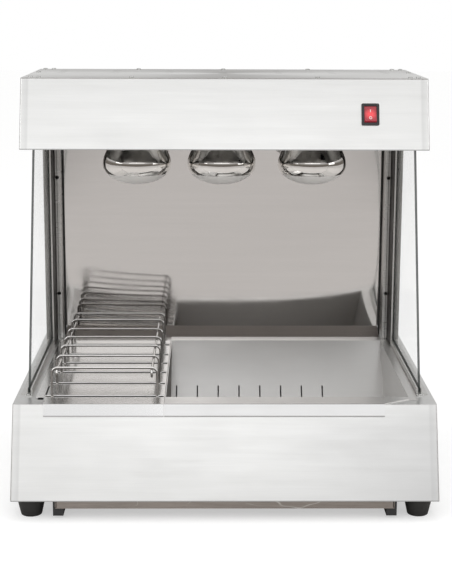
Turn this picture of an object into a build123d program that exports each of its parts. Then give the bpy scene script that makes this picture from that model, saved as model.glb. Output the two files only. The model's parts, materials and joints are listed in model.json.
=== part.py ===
"""Chip scuttle: a countertop heated display for chips, with three overhead heat lamps.

Millimetres.  +X is to the right, the open front faces -Y and +Z is up.  The origin is at the
centre of the footprint, on the surface that the feet stand on.
"""

from build123d import *
from math import atan2, cos, degrees, hypot, radians, sin
import os

os.makedirs("parts", exist_ok=True)

# Overall sizes
width = 700.0
foot_height = 32.0
base_height = 147.0
serving_height = 402.0  # from the deck up to the underside of the hood
hood_height = 119.0
base_depth = 524.0  # the deck, from its front edge to its rear edge
base_lean = 59.0  # how far the foot of the base's front stands out past its top edge
hood_setback = 164.0  # the hood's lower front edge, behind the deck's front edge
hood_lean = 41.0  # how far the hood's front leans back over its height

# Sheet metal and clearances
sheet = 1.2
bend_radius = 3.0
seat_gap = 0.3  # between a loose piece and what it rests on
running_gap = 0.05  # between a pivot pin and its hole
screw_gap = 0.15

# Deck opening and the rack of paper bags and chip pan that hang in it
opening_side = 38.0  # from the deck's side to the opening
opening_front = 38.0  # behind the deck's front edge
opening_rear = 448.0
corner_notch_width = 10.0  # a notch in the opening's front left corner
corner_notch_front = 29.5
insert_margin = 3.2  # between the opening's sides and the inserts
rim_rear = 476.0
divide_x = -100.5  # where the bag rack ends and the chip pan starts
divide_gap = 1.0
rim_flange = 20.0  # the strip that hangs down over the base's front
pan_depth = 125.0
pan_back_run = 0.8  # how far the pan's back comes forward for each millimetre down
pan_bend = 6.0
pan_lip_inset = 28.0
pan_lip_front = 27.0
lip_rear = 455.0
pan_flange_inset = 87.0
pan_corner_inset = 43.0
slot_rows = 2
slot_count = 8
slot_pitch = 39.9
slot_width = 2.6
slot_length = 30.0
slot_first_x = -88.6
slot_first_drop = 73.3
slot_row_drop = 18.5

# Bag rack
tread_fronts = (44.0, 126.0, 200.0, 266.0, 330.0, 408.0, 446.0)  # behind the deck's front edge
last_arch = 464.0
tread_step = 4.0
tread_land = 5.0
skirt_depth = 24.0
tray_flange_inset = 51.0
tray_side_inset = 48.0  # from the deck's side to the first treads
tray_lip_inset = 34.0
tray_lip_front = 36.5
tray_slit = 1.8  # the open slit beside the first tread
arch_wire = 4.0
arch_height = 53.0  # top of the arches above the deck
arch_inset_left = 13.0  # from the tray's side to the centre of a leg
arch_inset_right = 12.0
arch_bend = 10.0
rod_inset = 9.0  # from the centre of a leg to the centre of a rod
rod_curl = 5.0
weld_gap = 0.1

# Side glass, its channel on the deck and its corner clip
glass = 4.0
glass_inset = 19.0  # from the deck's side to the outer face
glass_front_low = 62.0  # behind the deck's front edge, at the deck
glass_front_high = 196.0  # the same, at the underside of the hood
glass_in_hood = 14.0
channel_inner_inset = 26.5
channel_outer_inset = 7.0
channel_height = 11.0
channel_floor = 2.0
channel_foot = 2.0
channel_lip = 2.4
clip_length = 10.0
clip_width = 12.0
clip_height = 4.0
clip_inset = 1.5  # from the glass's outer face to the middle of the clip
clip_thickness = 2.0

# Uprights
upright_front = 415.0  # behind the deck's front edge
upright_rear = 510.0
upright_outer_inset = 11.5
upright_step_inset = 26.0
upright_inner_inset = 38.0
upright_inner_front = 460.0
upright_wall = 2.0
upright_groove = 10.0
upright_top_gap = 12.0
face_groove = 1.6
port_radius = 2.1
port_wall = 2.4
port_inset = 18.0
port_screw_length = 14.0
panel_screw_heights = (92.0, 318.0)  # above the deck
panel_screw_inset = 5.5
access_hole = 3.6

# Back panel and its seals
panel_edge_inset = 28.0
panel_foot_front = 478.0  # the panel's foot slopes forward onto the deck
panel_foot_rise = 15.0
panel_in_hood = 40.0
seal_width = 2.7
seal_depth = 9.0

# Base floor, rear panel, feet
floor_edge = 12.0
floor_opening_inset = 92.0
floor_opening_front = 6.0
floor_opening_rear = 394.0
rear_recess = 3.0
rear_flange = 15.0
rear_screw_inset = 25.0
foot_top = 46.0
foot_bottom = 34.0
foot_inset = 31.0
foot_front = 33.0  # behind the lower front edge
foot_rear = 45.0  # in front of the rear edge
foot_round = 2.5

# Crumb tray and its runners
tray_inset = 72.0
tray_length = 446.0
tray_height = 13.0
tray_recess = 6.0  # behind the lower front edge
tray_top_gap = 0.9
tray_hem = 6.0
runner_thickness = 3.0
runner_shelf_width = 17.0
runner_shelf_height = 13.0
runner_flange = 12.0
runner_gap = 0.4
runner_screw_inset = 40.0

# Hood
hood_flange = 30.0
hood_front_lip = 12.0
hood_rear_flange = 42.0
vent_shares = (-0.85, -0.57, -0.286, 0.0, 0.286, 0.57, 0.85)  # of half the width
vent_rows = (375.0, 415.0, 460.0)  # behind the deck's front edge
vent_length = 14.0
vent_width = 3.0
rear_vent_count = 9
rear_vent_pitch = 36.0
rear_vent_length = 22.0
rear_vent_drop = 42.0
rail_front = 306.0
rail_rear = 386.0
rail_height = 8.0
roof_front_row = 20.0
roof_front_edge = 15.0
roof_front_pair = 13.5
roof_middle_row = 391.0
roof_middle_edge = 10.0
roof_rear_row = 16.5
roof_rear_edge = 11.0
roof_rear_pair = 16.0
hood_screw_inset = 6.0
hood_screw_heights = (14.0, 90.0)
panel_top_screw = 25.0

# Lamps
lamp_pitch = 160.0
lamp_shifts = (1.3, -3.9, 1.8)  # the lamps don't hang quite evenly
lamp_depth = 346.0  # behind the deck's front edge
lamp_diameter = 125.0
lamp_drop = 81.0  # how far a lamp reaches below the hood
lamp_face = 36.0  # height of the rounded face, up to the widest line
lamp_neck = 33.0
lamp_glass_length = 150.0
lamp_wall = 1.5
cap_diameter = 26.4
cap_length = 25.0
holder_diameter = 42.0
holder_flange = 52.0
holder_flange_height = 12.0
holder_bore = 27.4

# Switch
switch_inset = 101.0
bezel_width = 31.0
bezel_height = 39.0
bezel_thickness = 3.0
bezel_round = 3.0
switch_body_width = 26.0
switch_body_height = 34.0
switch_body_depth = 24.0
rocker_width = 20.7
rocker_height = 26.5
rocker_rise = 3.2
rocker_dip = 1.2
rocker_pivot = 2.5  # behind the hood's front face
rocker_floor = 9.5
rocker_tilt = 9.0
rocker_side_gap = 0.35
rocker_end_gap = 0.3
rocker_pin = 1.5
rocker_pin_length = 1.4
lug_width = 6.3
lug_thickness = 0.8
lug_length = 9.0

# Cable gland and terminal block on the hood's rear panel
gland_inset = 88.0
gland_drop = 62.0
gland_flats = 20.0
gland_hex = 4.0
gland_dome = 6.0
gland_shank = 7.8
gland_shank_length = 8.0
gland_bore = 3.6
block_inset = 200.0
block_drop = 60.0
block_width = 48.0
block_height = 16.0
block_depth = 18.0
block_ways = 4

# Small screws
screw_head = 4.0
screw_head_height = 2.3
screw_shank = 1.9
screw_length = 5.0
foot_screw_head = 6.0
foot_screw_head_height = 4.0
foot_screw_shank = 3.0
foot_recess = 8.0
nut_flats = 10.0
nut_height = 5.0

# Derived places
half = width / 2
inner_half = half - sheet
front_edge = -(base_depth - base_lean) / 2
base_bottom = foot_height
deck = foot_height + base_height
hood_bottom = deck + serving_height
hood_top = hood_bottom + hood_height
opening_half = half - opening_side
insert_half = opening_half - insert_margin
pan_lip_x = half - pan_lip_inset
pan_flange_end = half - pan_flange_inset
pan_lip_corner = half - pan_corner_inset
tray_flange_start = -(half - tray_flange_inset)
glass_x = half - glass_inset
clip_x = glass_x - clip_inset
channel_inner_x = half - channel_inner_inset
channel_outer_x = half - channel_outer_inset
upright_outer_x = half - upright_outer_inset
upright_step_x = half - upright_step_inset
upright_inner_x = half - upright_inner_inset
panel_edge_x = half - panel_edge_inset
floor_opening_x = half - floor_opening_inset
foot_x = half - foot_inset
tray_width = width - 2 * tray_inset
vent_columns = [half * share for share in vent_shares]
switch_x = half - switch_inset
gland_x = half - gland_inset
block_x = half - block_inset
arch_stations = tread_fronts[:-1] + (last_arch,)
rim_under = deck + seat_gap
rim_top = rim_under + sheet
hood_depth = upright_rear + 3 * sheet
base_slope = base_lean / base_height
hood_slope = hood_lean / hood_height


def behind(distance):
    """Y of a place this far behind the deck's front edge."""
    return front_edge + distance


def base_face(z, inset=0.0):
    """Y of the base's leaning front at height z, this far inside its outer face."""
    return front_edge - base_slope * (deck - z) + inset * hypot(1, base_slope)


def hood_face(z, inset=0.0):
    """Y of the hood's leaning front at height z, this far inside its outer face."""
    return behind(hood_setback) + hood_slope * (z - hood_bottom) + inset * hypot(1, hood_slope)


def glass_front(z):
    """Y of the glass's leaning front edge at height z."""
    return behind(glass_front_low + (glass_front_high - glass_front_low) * (z - deck) / serving_height)


def keep(piece, name):
    """Label a finished piece and write it to its own file."""
    piece.part.label = name
    export_step(piece.part, f"parts/{name}.step")


def sides(function, name):
    """Make the left and the right piece of a pair."""
    for side, word in ((-1, "left"), (1, "right")):
        keep(function(side), f"{name}_{word}")


def span(one, other):
    """Centre and size of a stretch between two places."""
    return (one + other) / 2, abs(other - one)


def upright_plane(x, y):
    """A plane facing the front, through a vertical axis at this place."""
    return Plane(origin=(x, y, 0), x_dir=(1, 0, 0), z_dir=(0, -1, 0))


def pan_screw(head=screw_head, head_height=screw_head_height, shank=screw_shank, length=screw_length):
    """A domed screw along +Z, with the underside of its head at the origin."""
    dome_drop = (head**2 - head_height**2) / (2 * head_height)
    rim_angle = degrees(atan2(dome_drop, head))
    with BuildPart() as screw:
        with BuildSketch(Plane.XZ):
            with BuildLine():
                Polyline((0, head_height), (0, -length), (shank, -length), (shank, 0), (head, 0))
                CenterArc((0, -dome_drop), head_height + dome_drop, rim_angle, 90 - rim_angle)
            make_face()
        revolve(axis=Axis.Z)
    return screw.part


def fastened(screw, seats):
    """One group of equal screws, each with its head on a seat."""
    with BuildPart() as group:
        for seat in seats:
            with Locations(seat):
                add(screw)
    return group


def seat_facing(place, facing):
    """A seat for a screw's head, facing this way."""
    return Plane(origin=place, x_dir=(1, 0, 0), z_dir=facing)


BACKWARDS, FORWARDS, UPWARDS, DOWNWARDS = (0, 1, 0), (0, -1, 0), (0, 0, 1), (0, 0, -1)


# Fastener places that more than one piece shares
roof_screw_places = [(side * (half - roof_middle_edge), behind(roof_middle_row)) for side in (-1, 1)]
for row, edge, pair in (
    (hood_setback + hood_lean + roof_front_row, roof_front_edge, roof_front_pair),
    (hood_depth - roof_rear_row, roof_rear_edge, roof_rear_pair),
):
    outer = half - edge
    inner = outer - pair
    roof_screw_places += [(x, behind(row)) for x in (-outer, -inner, -inner / 2, 0, inner / 2, inner, outer)]
base_rear_screw_places = [
    (side * (inner_half - rear_flange / 2), z)
    for side in (-1, 1)
    for z in (base_bottom + rear_screw_inset, base_bottom + base_height / 2, deck - rear_screw_inset)
]
hood_rear_screw_places = [
    (side * (upright_inner_x + hood_screw_inset), hood_bottom + panel_top_screw) for side in (-1, 1)
] + [
    (side * (inner_half - hood_screw_inset), hood_bottom + height)
    for side in (-1, 1)
    for height in hood_screw_heights
]
panel_screw_places = [
    (side * (upright_inner_x + panel_screw_inset), deck + height)
    for side in (-1, 1)
    for height in panel_screw_heights
]
port_places = [
    (side * (upright_step_x + upright_outer_x) / 2, behind(y))
    for side in (-1, 1)
    for y in (upright_front + upright_groove + port_inset, upright_rear - port_inset)
]
foot_places = {
    "front_left": (-foot_x, base_face(base_bottom) + foot_front),
    "front_right": (foot_x, base_face(base_bottom) + foot_front),
    "rear_left": (-foot_x, behind(base_depth - foot_rear)),
    "rear_right": (foot_x, behind(base_depth - foot_rear)),
}
runner_web = tray_width / 2 + runner_gap
runner_front = base_face(base_bottom) + tray_recess + 3.0
runner_rear = runner_front + tray_length
runner_screw_places = [
    (side * (runner_web + runner_thickness + runner_flange / 2), y)
    for side in (-1, 1)
    for y in (runner_front + runner_screw_inset, runner_rear - runner_screw_inset)
]
channel_start = glass_front(deck) - 3.0
clip_rear = channel_start
clip_screw_places = [(side * clip_x, clip_rear - clip_thickness - clip_length / 2) for side in (-1, 1)]
lamp_places = {
    word: step * lamp_pitch + shift
    for word, step, shift in zip(("left", "centre", "right"), (-1, 0, 1), lamp_shifts)
}


# Base: one folded sheet makes the deck, the leaning front and both sides
rear_plane_y = behind(base_depth - rear_recess)
with BuildPart() as base_wrap:
    with BuildSketch(Plane.YZ.offset(-half)):
        with BuildLine():
            Polyline(
                (base_face(base_bottom), base_bottom),
                (front_edge, deck),
                (behind(base_depth), deck),
                (behind(base_depth), base_bottom),
                close=True,
            )
        make_face()
    extrude(amount=width)
    front_corners = base_wrap.edges().filter_by(
        lambda edge: abs((edge @ 0).Z - (edge @ 1).Z) > 1 and (edge @ 0.5).Y < front_edge + 1
    )
    fillet(front_corners, bend_radius)
    with BuildSketch(Plane.YZ.offset(-inner_half)):
        with BuildLine():
            Polyline(
                (base_face(base_bottom - 1, sheet), base_bottom - 1),
                (base_face(deck - sheet, sheet), deck - sheet),
                (behind(base_depth + 1), deck - sheet),
                (behind(base_depth + 1), base_bottom - 1),
                close=True,
            )
        make_face()
    extrude(amount=2 * inner_half, mode=Mode.SUBTRACT)
    opening_y, opening_length = span(behind(opening_front), behind(opening_rear))
    with BuildSketch(Plane.XY.offset(deck + 1)):
        with Locations((0, opening_y)):
            RectangleRounded(2 * opening_half, opening_length, bend_radius)
        notch_y, notch_length = span(behind(corner_notch_front), behind(opening_front + 2 * bend_radius))
        with Locations((corner_notch_width / 2 - opening_half, notch_y)):
            Rectangle(corner_notch_width, notch_length)
    extrude(amount=-sheet - 2, mode=Mode.SUBTRACT)
    # Flanges inside the rear edges of the two sides, for the rear panel
    for side in (-1, 1):
        with BuildSketch(Plane.XZ.offset(-(rear_plane_y - sheet))):
            x, flange_width = span(side * inner_half, side * (inner_half - rear_flange))
            z, flange_height = span(base_bottom, deck - sheet)
            with Locations((x, z)):
                Rectangle(flange_width, flange_height)
        extrude(amount=sheet)
    with BuildSketch(Plane.XZ.offset(-rear_plane_y)):
        with Locations(*base_rear_screw_places):
            Circle(screw_shank + screw_gap)
    extrude(amount=3 * sheet, mode=Mode.SUBTRACT)
    with BuildSketch(Plane.XY.offset(deck + 1)):
        with Locations(*port_places, *clip_screw_places):
            Circle(screw_shank + screw_gap)
    extrude(amount=-sheet - 2, mode=Mode.SUBTRACT)
keep(base_wrap, "base_wrap")

with BuildPart() as base_floor:
    floor_rear = rear_plane_y - 2 * sheet
    for level, inset, top in ((0.0, sheet, floor_edge), (sheet, 2 * sheet, floor_edge + 1)):
        low = base_bottom + level
        high = base_bottom + top
        with BuildSketch(Plane.YZ.offset(-half + inset)):
            with BuildLine():
                Polyline(
                    (base_face(low, inset), low),
                    (base_face(high, inset), high),
                    (floor_rear - level, high),
                    (floor_rear - level, low),
                    close=True,
                )
            make_face()
        extrude(amount=width - 2 * inset, mode=Mode.SUBTRACT if level else Mode.ADD)
    hole_y, hole_length = span(behind(floor_opening_front), behind(floor_opening_rear))
    with BuildSketch(Plane.XY.offset(base_bottom - 1)):
        with Locations((0, hole_y)):
            RectangleRounded(2 * floor_opening_x, hole_length, 8)
        with Locations(*foot_places.values()):
            Circle(foot_screw_shank + screw_gap)
        with Locations(*runner_screw_places):
            Circle(screw_shank + screw_gap)
    extrude(amount=sheet + 2, mode=Mode.SUBTRACT)
keep(base_floor, "base_floor")

with BuildPart() as base_rear_panel:
    with BuildSketch(Plane.XZ.offset(-rear_plane_y)):
        z, panel_height = span(base_bottom, deck - sheet)
        with Locations((0, z)):
            Rectangle(2 * inner_half, panel_height)
        with Locations(*base_rear_screw_places):
            Circle(screw_shank + screw_gap, mode=Mode.SUBTRACT)
    extrude(amount=sheet)
keep(base_rear_panel, "base_rear_panel")

seats = [seat_facing((x, rear_plane_y, z), BACKWARDS) for x, z in base_rear_screw_places]
keep(fastened(pan_screw(), seats), "rear_panel_screws")

for place, (x, y) in foot_places.items():
    with BuildPart() as foot:
        with BuildSketch(upright_plane(x, y)):
            with BuildLine():
                Polyline(
                    (foot_screw_shank + screw_gap, foot_height),
                    (foot_top / 2, foot_height),
                    (foot_top / 2, foot_height - 5),
                    (foot_bottom / 2, 0),
                    (foot_recess, 0),
                    (foot_recess, foot_height / 2),
                    (foot_screw_shank + screw_gap, foot_height / 2),
                    close=True,
                )
            make_face()
        revolve(axis=Axis((x, y, 0), (0, 0, 1)))
        fillet(foot.edges().filter_by_position(Axis.Z, -0.1, 0.1).sort_by(SortBy.RADIUS)[-1], foot_round)
        fillet(foot.edges().group_by(Axis.Z)[-1].sort_by(SortBy.RADIUS)[-1], foot_round / 2)
    keep(foot, f"foot_{place}")

bolt_length = foot_height / 2 + sheet + nut_height
foot_bolt = pan_screw(foot_screw_head, foot_screw_head_height, foot_screw_shank, bolt_length)
with BuildPart() as foot_bolts:
    for x, y in foot_places.values():
        with Locations(seat_facing((x, y, foot_height / 2), DOWNWARDS)):
            add(foot_bolt)
    with BuildSketch(Plane.XY.offset(base_bottom + sheet)):
        with Locations(*foot_places.values()):
            RegularPolygon(nut_flats / 2, 6, major_radius=False)
            Circle(foot_screw_shank + running_gap, mode=Mode.SUBTRACT)
    extrude(amount=nut_height - 1)
keep(foot_bolts, "foot_bolts")


# Crumb tray runners: angle strips under the floor, each with a bar welded below it as a shelf
def runner(side):
    with BuildPart() as piece:
        shelf_top = base_bottom - tray_top_gap - tray_height - seat_gap
        outer = runner_web + runner_thickness
        with BuildSketch(Plane.XZ.offset(-runner_front)):
            with BuildLine():
                Polyline(
                    (side * (outer + runner_flange), base_bottom),
                    (side * runner_web, base_bottom),
                    (side * runner_web, shelf_top + weld_gap),
                    (side * outer, shelf_top + weld_gap),
                    (side * outer, base_bottom - runner_thickness),
                    (side * (outer + runner_flange), base_bottom - runner_thickness),
                    close=True,
                )
            make_face()
            x, shelf_width = span(side * outer, side * (outer - runner_shelf_width))
            with Locations((x, shelf_top - runner_shelf_height / 2)):
                Rectangle(shelf_width, runner_shelf_height)
        extrude(amount=-tray_length)
        with BuildSketch(Plane.XY.offset(base_bottom + 1)):
            with Locations(*[place for place in runner_screw_places if place[0] * side > 0]):
                Circle(screw_shank + screw_gap)
        extrude(amount=-runner_thickness - 2, mode=Mode.SUBTRACT)
    return piece


sides(runner, "runner")

seats = [seat_facing((x, y, base_bottom - runner_thickness), DOWNWARDS) for x, y in runner_screw_places]
keep(fastened(pan_screw(length=runner_thickness + sheet + 3), seats), "runner_screws")

# The crumb tray is a flat floor with four strips welded on as its walls
with BuildPart() as crumb_tray:
    tray_top = base_bottom - tray_top_gap
    tray_floor = tray_top - tray_height
    tray_front = base_face(base_bottom) + tray_recess
    tray_rear = tray_front + tray_length
    with BuildSketch(Plane.XY.offset(tray_floor)):
        with Locations((0, (tray_front + tray_rear) / 2)):
            RectangleRounded(tray_width, tray_length, bend_radius)
    extrude(amount=sheet)
    wall_bottom = tray_floor + sheet + weld_gap
    # The front wall is folded back inside as a finger hem
    with BuildSketch(Plane.YZ.offset(-tray_width / 2 + bend_radius)):
        with BuildLine():
            Polyline(
                (tray_front, wall_bottom),
                (tray_front, tray_top),
                (tray_front + sheet + tray_hem, tray_top),
                (tray_front + sheet + tray_hem, tray_top - sheet),
                (tray_front + sheet, tray_top - sheet),
                (tray_front + sheet, wall_bottom),
                close=True,
            )
        make_face()
    extrude(amount=tray_width - 2 * bend_radius)
    with BuildSketch(Plane.XY.offset(wall_bottom)):
        with Locations((0, tray_rear - sheet / 2)):
            Rectangle(tray_width - 2 * bend_radius, sheet)
    extrude(amount=tray_top - wall_bottom)
    # Side walls
    for side in (-1, 1):
        x, thickness = span(side * tray_width / 2, side * (tray_width / 2 - sheet))
        z, height = span(wall_bottom, tray_top)
        with BuildSketch(Plane.XZ.offset(-(tray_front + bend_radius))):
            with Locations((x, z)):
                Rectangle(thickness, height)
        extrude(amount=-(tray_length - 2 * bend_radius))
keep(crumb_tray, "crumb_tray")


# Side glass, the channel that it stands in, and the clip at its lower front corner
def side_glass(side):
    with BuildPart() as piece:
        low = deck + channel_floor
        high = hood_bottom + glass_in_hood
        rear = behind(upright_front + upright_groove) - seat_gap
        with BuildSketch(Plane.YZ.offset(side * (glass_x - glass / 2))):
            with BuildLine():
                Polyline((glass_front(low), low), (rear, low), (rear, high), (glass_front(high), high), close=True)
            make_face()
        extrude(amount=glass / 2, both=True)
    return piece


def glass_channel(side):
    with BuildPart() as piece:
        channel_end = behind(upright_front)
        channel_inner = glass_x - glass - seat_gap
        outer_lip = glass_x + seat_gap
        with BuildSketch(Plane.XZ.offset(-channel_start)):
            with BuildLine():
                Polyline(
                    (side * channel_inner_x, deck),
                    (side * channel_outer_x, deck),
                    (side * channel_outer_x, deck + channel_foot),
                    (side * (outer_lip + channel_lip), deck + channel_foot),
                    (side * (outer_lip + channel_lip), deck + channel_height),
                    (side * outer_lip, deck + channel_height),
                    (side * outer_lip, deck + channel_floor),
                    (side * channel_inner, deck + channel_floor),
                    (side * channel_inner, deck + channel_height),
                    (side * (channel_inner - channel_lip), deck + channel_height),
                    (side * channel_inner_x, deck + channel_height - 4),
                    close=True,
                )
            make_face()
        extrude(amount=channel_start - channel_end)
    return piece


def glass_clip(side):
    with BuildPart() as piece:
        with BuildSketch(Plane.YZ.offset(side * clip_x - clip_width / 2)):
            with BuildLine():
                Polyline(
                    (clip_rear - clip_thickness - clip_length, deck),
                    (clip_rear, deck),
                    (clip_rear, deck + clip_height),
                    (clip_rear - clip_thickness, deck + clip_height),
                    (clip_rear - clip_thickness, deck + clip_thickness),
                    (clip_rear - clip_thickness - clip_length, deck + clip_thickness),
                    close=True,
                )
            make_face()
        extrude(amount=clip_width)
        fillet(piece.edges().filter_by(Axis.Y).group_by(Axis.Z)[-1], 2)
        with BuildSketch(Plane.XY.offset(deck - 1)):
            with Locations(*clip_screw_places):
                Circle(screw_shank + screw_gap)
        extrude(amount=clip_thickness + 2, mode=Mode.SUBTRACT)
    return piece


sides(side_glass, "side_glass")
sides(glass_channel, "glass_channel")
sides(glass_clip, "glass_clip")

seats = [seat_facing((x, y, deck + clip_thickness), UPWARDS) for x, y in clip_screw_places]
keep(fastened(pan_screw(length=clip_thickness + sheet + 3), seats), "clip_screws")


# Uprights: hollow two-step extrusions, with a groove for the glass and ports for the end screws
def upright(side):
    with BuildPart() as piece:
        top = hood_top - upright_top_gap
        with BuildSketch(Plane.XY.offset(deck)):
            outer_x, outer_width = span(side * upright_step_x, side * upright_outer_x)
            outer_y, outer_depth = span(behind(upright_front), behind(upright_rear))
            inner_x, inner_width = span(side * upright_inner_x, side * upright_step_x)
            inner_y, inner_depth = span(behind(upright_inner_front), behind(upright_rear))
            with Locations((outer_x, outer_y)):
                Rectangle(outer_width, outer_depth)
            with Locations((inner_x, inner_y)):
                Rectangle(inner_width, inner_depth)
            # Hollow chambers, one behind the glass groove and one in the inner step
            chamber_front = behind(upright_front + upright_groove + upright_wall)
            chamber_y, chamber_depth = span(chamber_front, behind(upright_rear - upright_wall))
            with Locations((outer_x, chamber_y)):
                Rectangle(outer_width - 2 * upright_wall, chamber_depth, mode=Mode.SUBTRACT)
            inner_chamber_x, inner_chamber_width = span(
                side * (upright_inner_x + upright_wall), side * upright_step_x
            )
            with Locations((inner_chamber_x, inner_y)):
                Rectangle(inner_chamber_width, inner_depth - 2 * upright_wall, mode=Mode.SUBTRACT)
            # Ribs with the screw ports cross the outer chamber
            with Locations(*[place for place in port_places if place[0] * side > 0]):
                Rectangle(outer_width - 2 * upright_wall, 2 * (port_radius + port_wall))
                Circle(port_radius, mode=Mode.SUBTRACT)
            # The glass groove, and a fine groove drawn down the face beside it
            groove_y, groove_depth = span(behind(upright_front), behind(upright_front + upright_groove))
            with Locations((side * (glass_x - glass / 2), groove_y)):
                Rectangle(glass + 2 * seat_gap, groove_depth, mode=Mode.SUBTRACT)
            with Locations((side * (upright_outer_x - 3.2), behind(upright_front))):
                Rectangle(face_groove, face_groove * 2, mode=Mode.SUBTRACT)
            with Locations((side * upright_step_x, behind(upright_front + 6))):
                Rectangle(face_groove, face_groove * 2, mode=Mode.SUBTRACT)
        extrude(amount=top - deck)
        # Access holes in the front wall, and screw holes in the rear wall behind them
        own_screws = [place for place in panel_screw_places if place[0] * side > 0]
        with BuildSketch(Plane.XZ.offset(-behind(upright_inner_front) + 1)):
            with Locations(*own_screws):
                Circle(access_hole)
        extrude(amount=-upright_wall - 2, mode=Mode.SUBTRACT)
        rear_holes = own_screws + [place for place in hood_rear_screw_places[:2] if place[0] * side > 0]
        with BuildSketch(Plane.XZ.offset(-behind(upright_rear) - 1)):
            with Locations(*rear_holes):
                Circle(screw_shank + screw_gap)
        extrude(amount=upright_wall + 2, mode=Mode.SUBTRACT)
    return piece


def panel_seal(side):
    with BuildPart() as piece:
        x, seal = span(side * upright_inner_x, side * (upright_inner_x - seal_width))
        y, depth = span(behind(upright_rear), behind(upright_rear - seal_depth))
        with BuildSketch(Plane.XY.offset(deck)):
            with Locations((x, y)):
                Rectangle(seal, depth)
        extrude(amount=serving_height)
        round_edge = piece.edges().filter_by(Axis.Z).group_by(Axis.Y)[0].sort_by(Axis.X)
        fillet(round_edge[0] if side > 0 else round_edge[-1], seal_width * 0.6)
    return piece


sides(upright, "upright")
sides(panel_seal, "panel_seal")

seats = [seat_facing((x, y, deck - sheet), DOWNWARDS) for x, y in port_places]
keep(fastened(pan_screw(length=sheet + port_screw_length), seats), "upright_base_screws")

with BuildPart() as back_panel:
    with BuildSketch(Plane.XZ.offset(-behind(upright_rear + sheet))):
        z, panel_height = span(deck + panel_foot_rise, hood_bottom + panel_in_hood)
        with Locations((0, z)):
            Rectangle(2 * panel_edge_x, panel_height)
        with Locations(*panel_screw_places, *hood_rear_screw_places[:2]):
            Circle(screw_shank + screw_gap, mode=Mode.SUBTRACT)
    extrude(amount=sheet)
    # Its foot slopes down and forward to the deck
    with BuildSketch(Plane.YZ.offset(-insert_half)):
        foot_front = behind(panel_foot_front)
        foot_rear = behind(upright_rear) - weld_gap
        with BuildLine():
            Polyline(
                (foot_front, deck),
                (foot_rear, deck + panel_foot_rise),
                (foot_rear, deck + panel_foot_rise + sheet),
                (foot_front, deck + sheet),
                close=True,
            )
        make_face()
    extrude(amount=2 * insert_half)
keep(back_panel, "back_panel")

head_y = behind(upright_rear - upright_wall)
seats = [seat_facing((x, head_y, z), FORWARDS) for x, z in panel_screw_places]
keep(fastened(pan_screw(head=3.4, length=upright_wall + sheet + 3), seats), "back_panel_screws")


# Hood: a folded sheet for the leaning front and the sides, a screwed roof and a rear panel
hood_rear_y = behind(hood_depth)
with BuildPart() as hood_wrap:
    wall_top = hood_top - sheet
    with BuildSketch(Plane.YZ.offset(-half)):
        with BuildLine():
            Polyline(
                (hood_face(hood_bottom), hood_bottom),
                (hood_face(wall_top), wall_top),
                (hood_rear_y, wall_top),
                (hood_rear_y, hood_bottom),
                close=True,
            )
        make_face()
    extrude(amount=width)
    hood_corners = hood_wrap.edges().filter_by(
        lambda edge: abs((edge @ 0).Z - (edge @ 1).Z) > 1 and (edge @ 0.5).Y < hood_face(hood_top)
    )
    fillet(hood_corners, bend_radius)
    with BuildSketch(Plane.YZ.offset(-inner_half)):
        with BuildLine():
            Polyline(
                (hood_face(hood_bottom + sheet, sheet), hood_bottom + sheet),
                (hood_face(wall_top - sheet, sheet), wall_top - sheet),
                (hood_rear_y + 1, wall_top - sheet),
                (hood_rear_y + 1, hood_bottom + sheet),
                close=True,
            )
        make_face()
    extrude(amount=2 * inner_half, mode=Mode.SUBTRACT)
    # Open top, which leaves flanges for the roof screws
    with BuildSketch(Plane.XY.offset(wall_top + 1)):
        y, length = span(hood_face(wall_top) + hood_flange, hood_rear_y + 1)
        with Locations((0, y)):
            Rectangle(2 * (inner_half - hood_flange), length)
    extrude(amount=-sheet - 2, mode=Mode.SUBTRACT)
    # Open underside, which leaves a lip along the front and up to the glass at the sides
    side_lip = glass_x + seat_gap
    with BuildSketch(Plane.XY.offset(hood_bottom - 1)):
        y, length = span(hood_face(hood_bottom) + hood_front_lip, hood_rear_y + 1)
        with Locations((0, y)):
            Rectangle(2 * side_lip, length)
        y, length = span(behind(upright_front - 1), hood_rear_y + 1)
        with Locations((0, y)):
            Rectangle(2 * inner_half, length)
    extrude(amount=sheet + 2, mode=Mode.SUBTRACT)
    # Rear flanges, between the back panel and the rear panel
    for side in (-1, 1):
        x, flange_width = span(side * inner_half, side * (inner_half - hood_rear_flange))
        z, flange_height = span(hood_bottom, wall_top - sheet)
        with BuildSketch(Plane.XZ.offset(-(hood_rear_y - sheet))):
            with Locations((x, z)):
                Rectangle(flange_width, flange_height)
        extrude(amount=sheet)
    with BuildSketch(Plane.XZ.offset(-hood_rear_y)):
        with Locations(*hood_rear_screw_places):
            Circle(screw_shank + screw_gap)
    extrude(amount=3 * sheet, mode=Mode.SUBTRACT)
    with BuildSketch(Plane.XY.offset(wall_top + 1)):
        with Locations(*roof_screw_places):
            Circle(screw_shank + screw_gap)
    extrude(amount=-sheet - 2, mode=Mode.SUBTRACT)
    # Cut-out for the switch
    switch_z = (hood_bottom + hood_top) / 2
    lean = atan2(hood_lean, hood_height)
    switch_plane = Plane(
        origin=(switch_x, hood_face(switch_z), switch_z), x_dir=(1, 0, 0), z_dir=(0, -cos(lean), sin(lean))
    )
    with BuildSketch(switch_plane):
        Rectangle(switch_body_width + 2 * screw_gap, switch_body_height + 2 * screw_gap)
    extrude(amount=4 * sheet, both=True, mode=Mode.SUBTRACT)
keep(hood_wrap, "hood_wrap")

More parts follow.
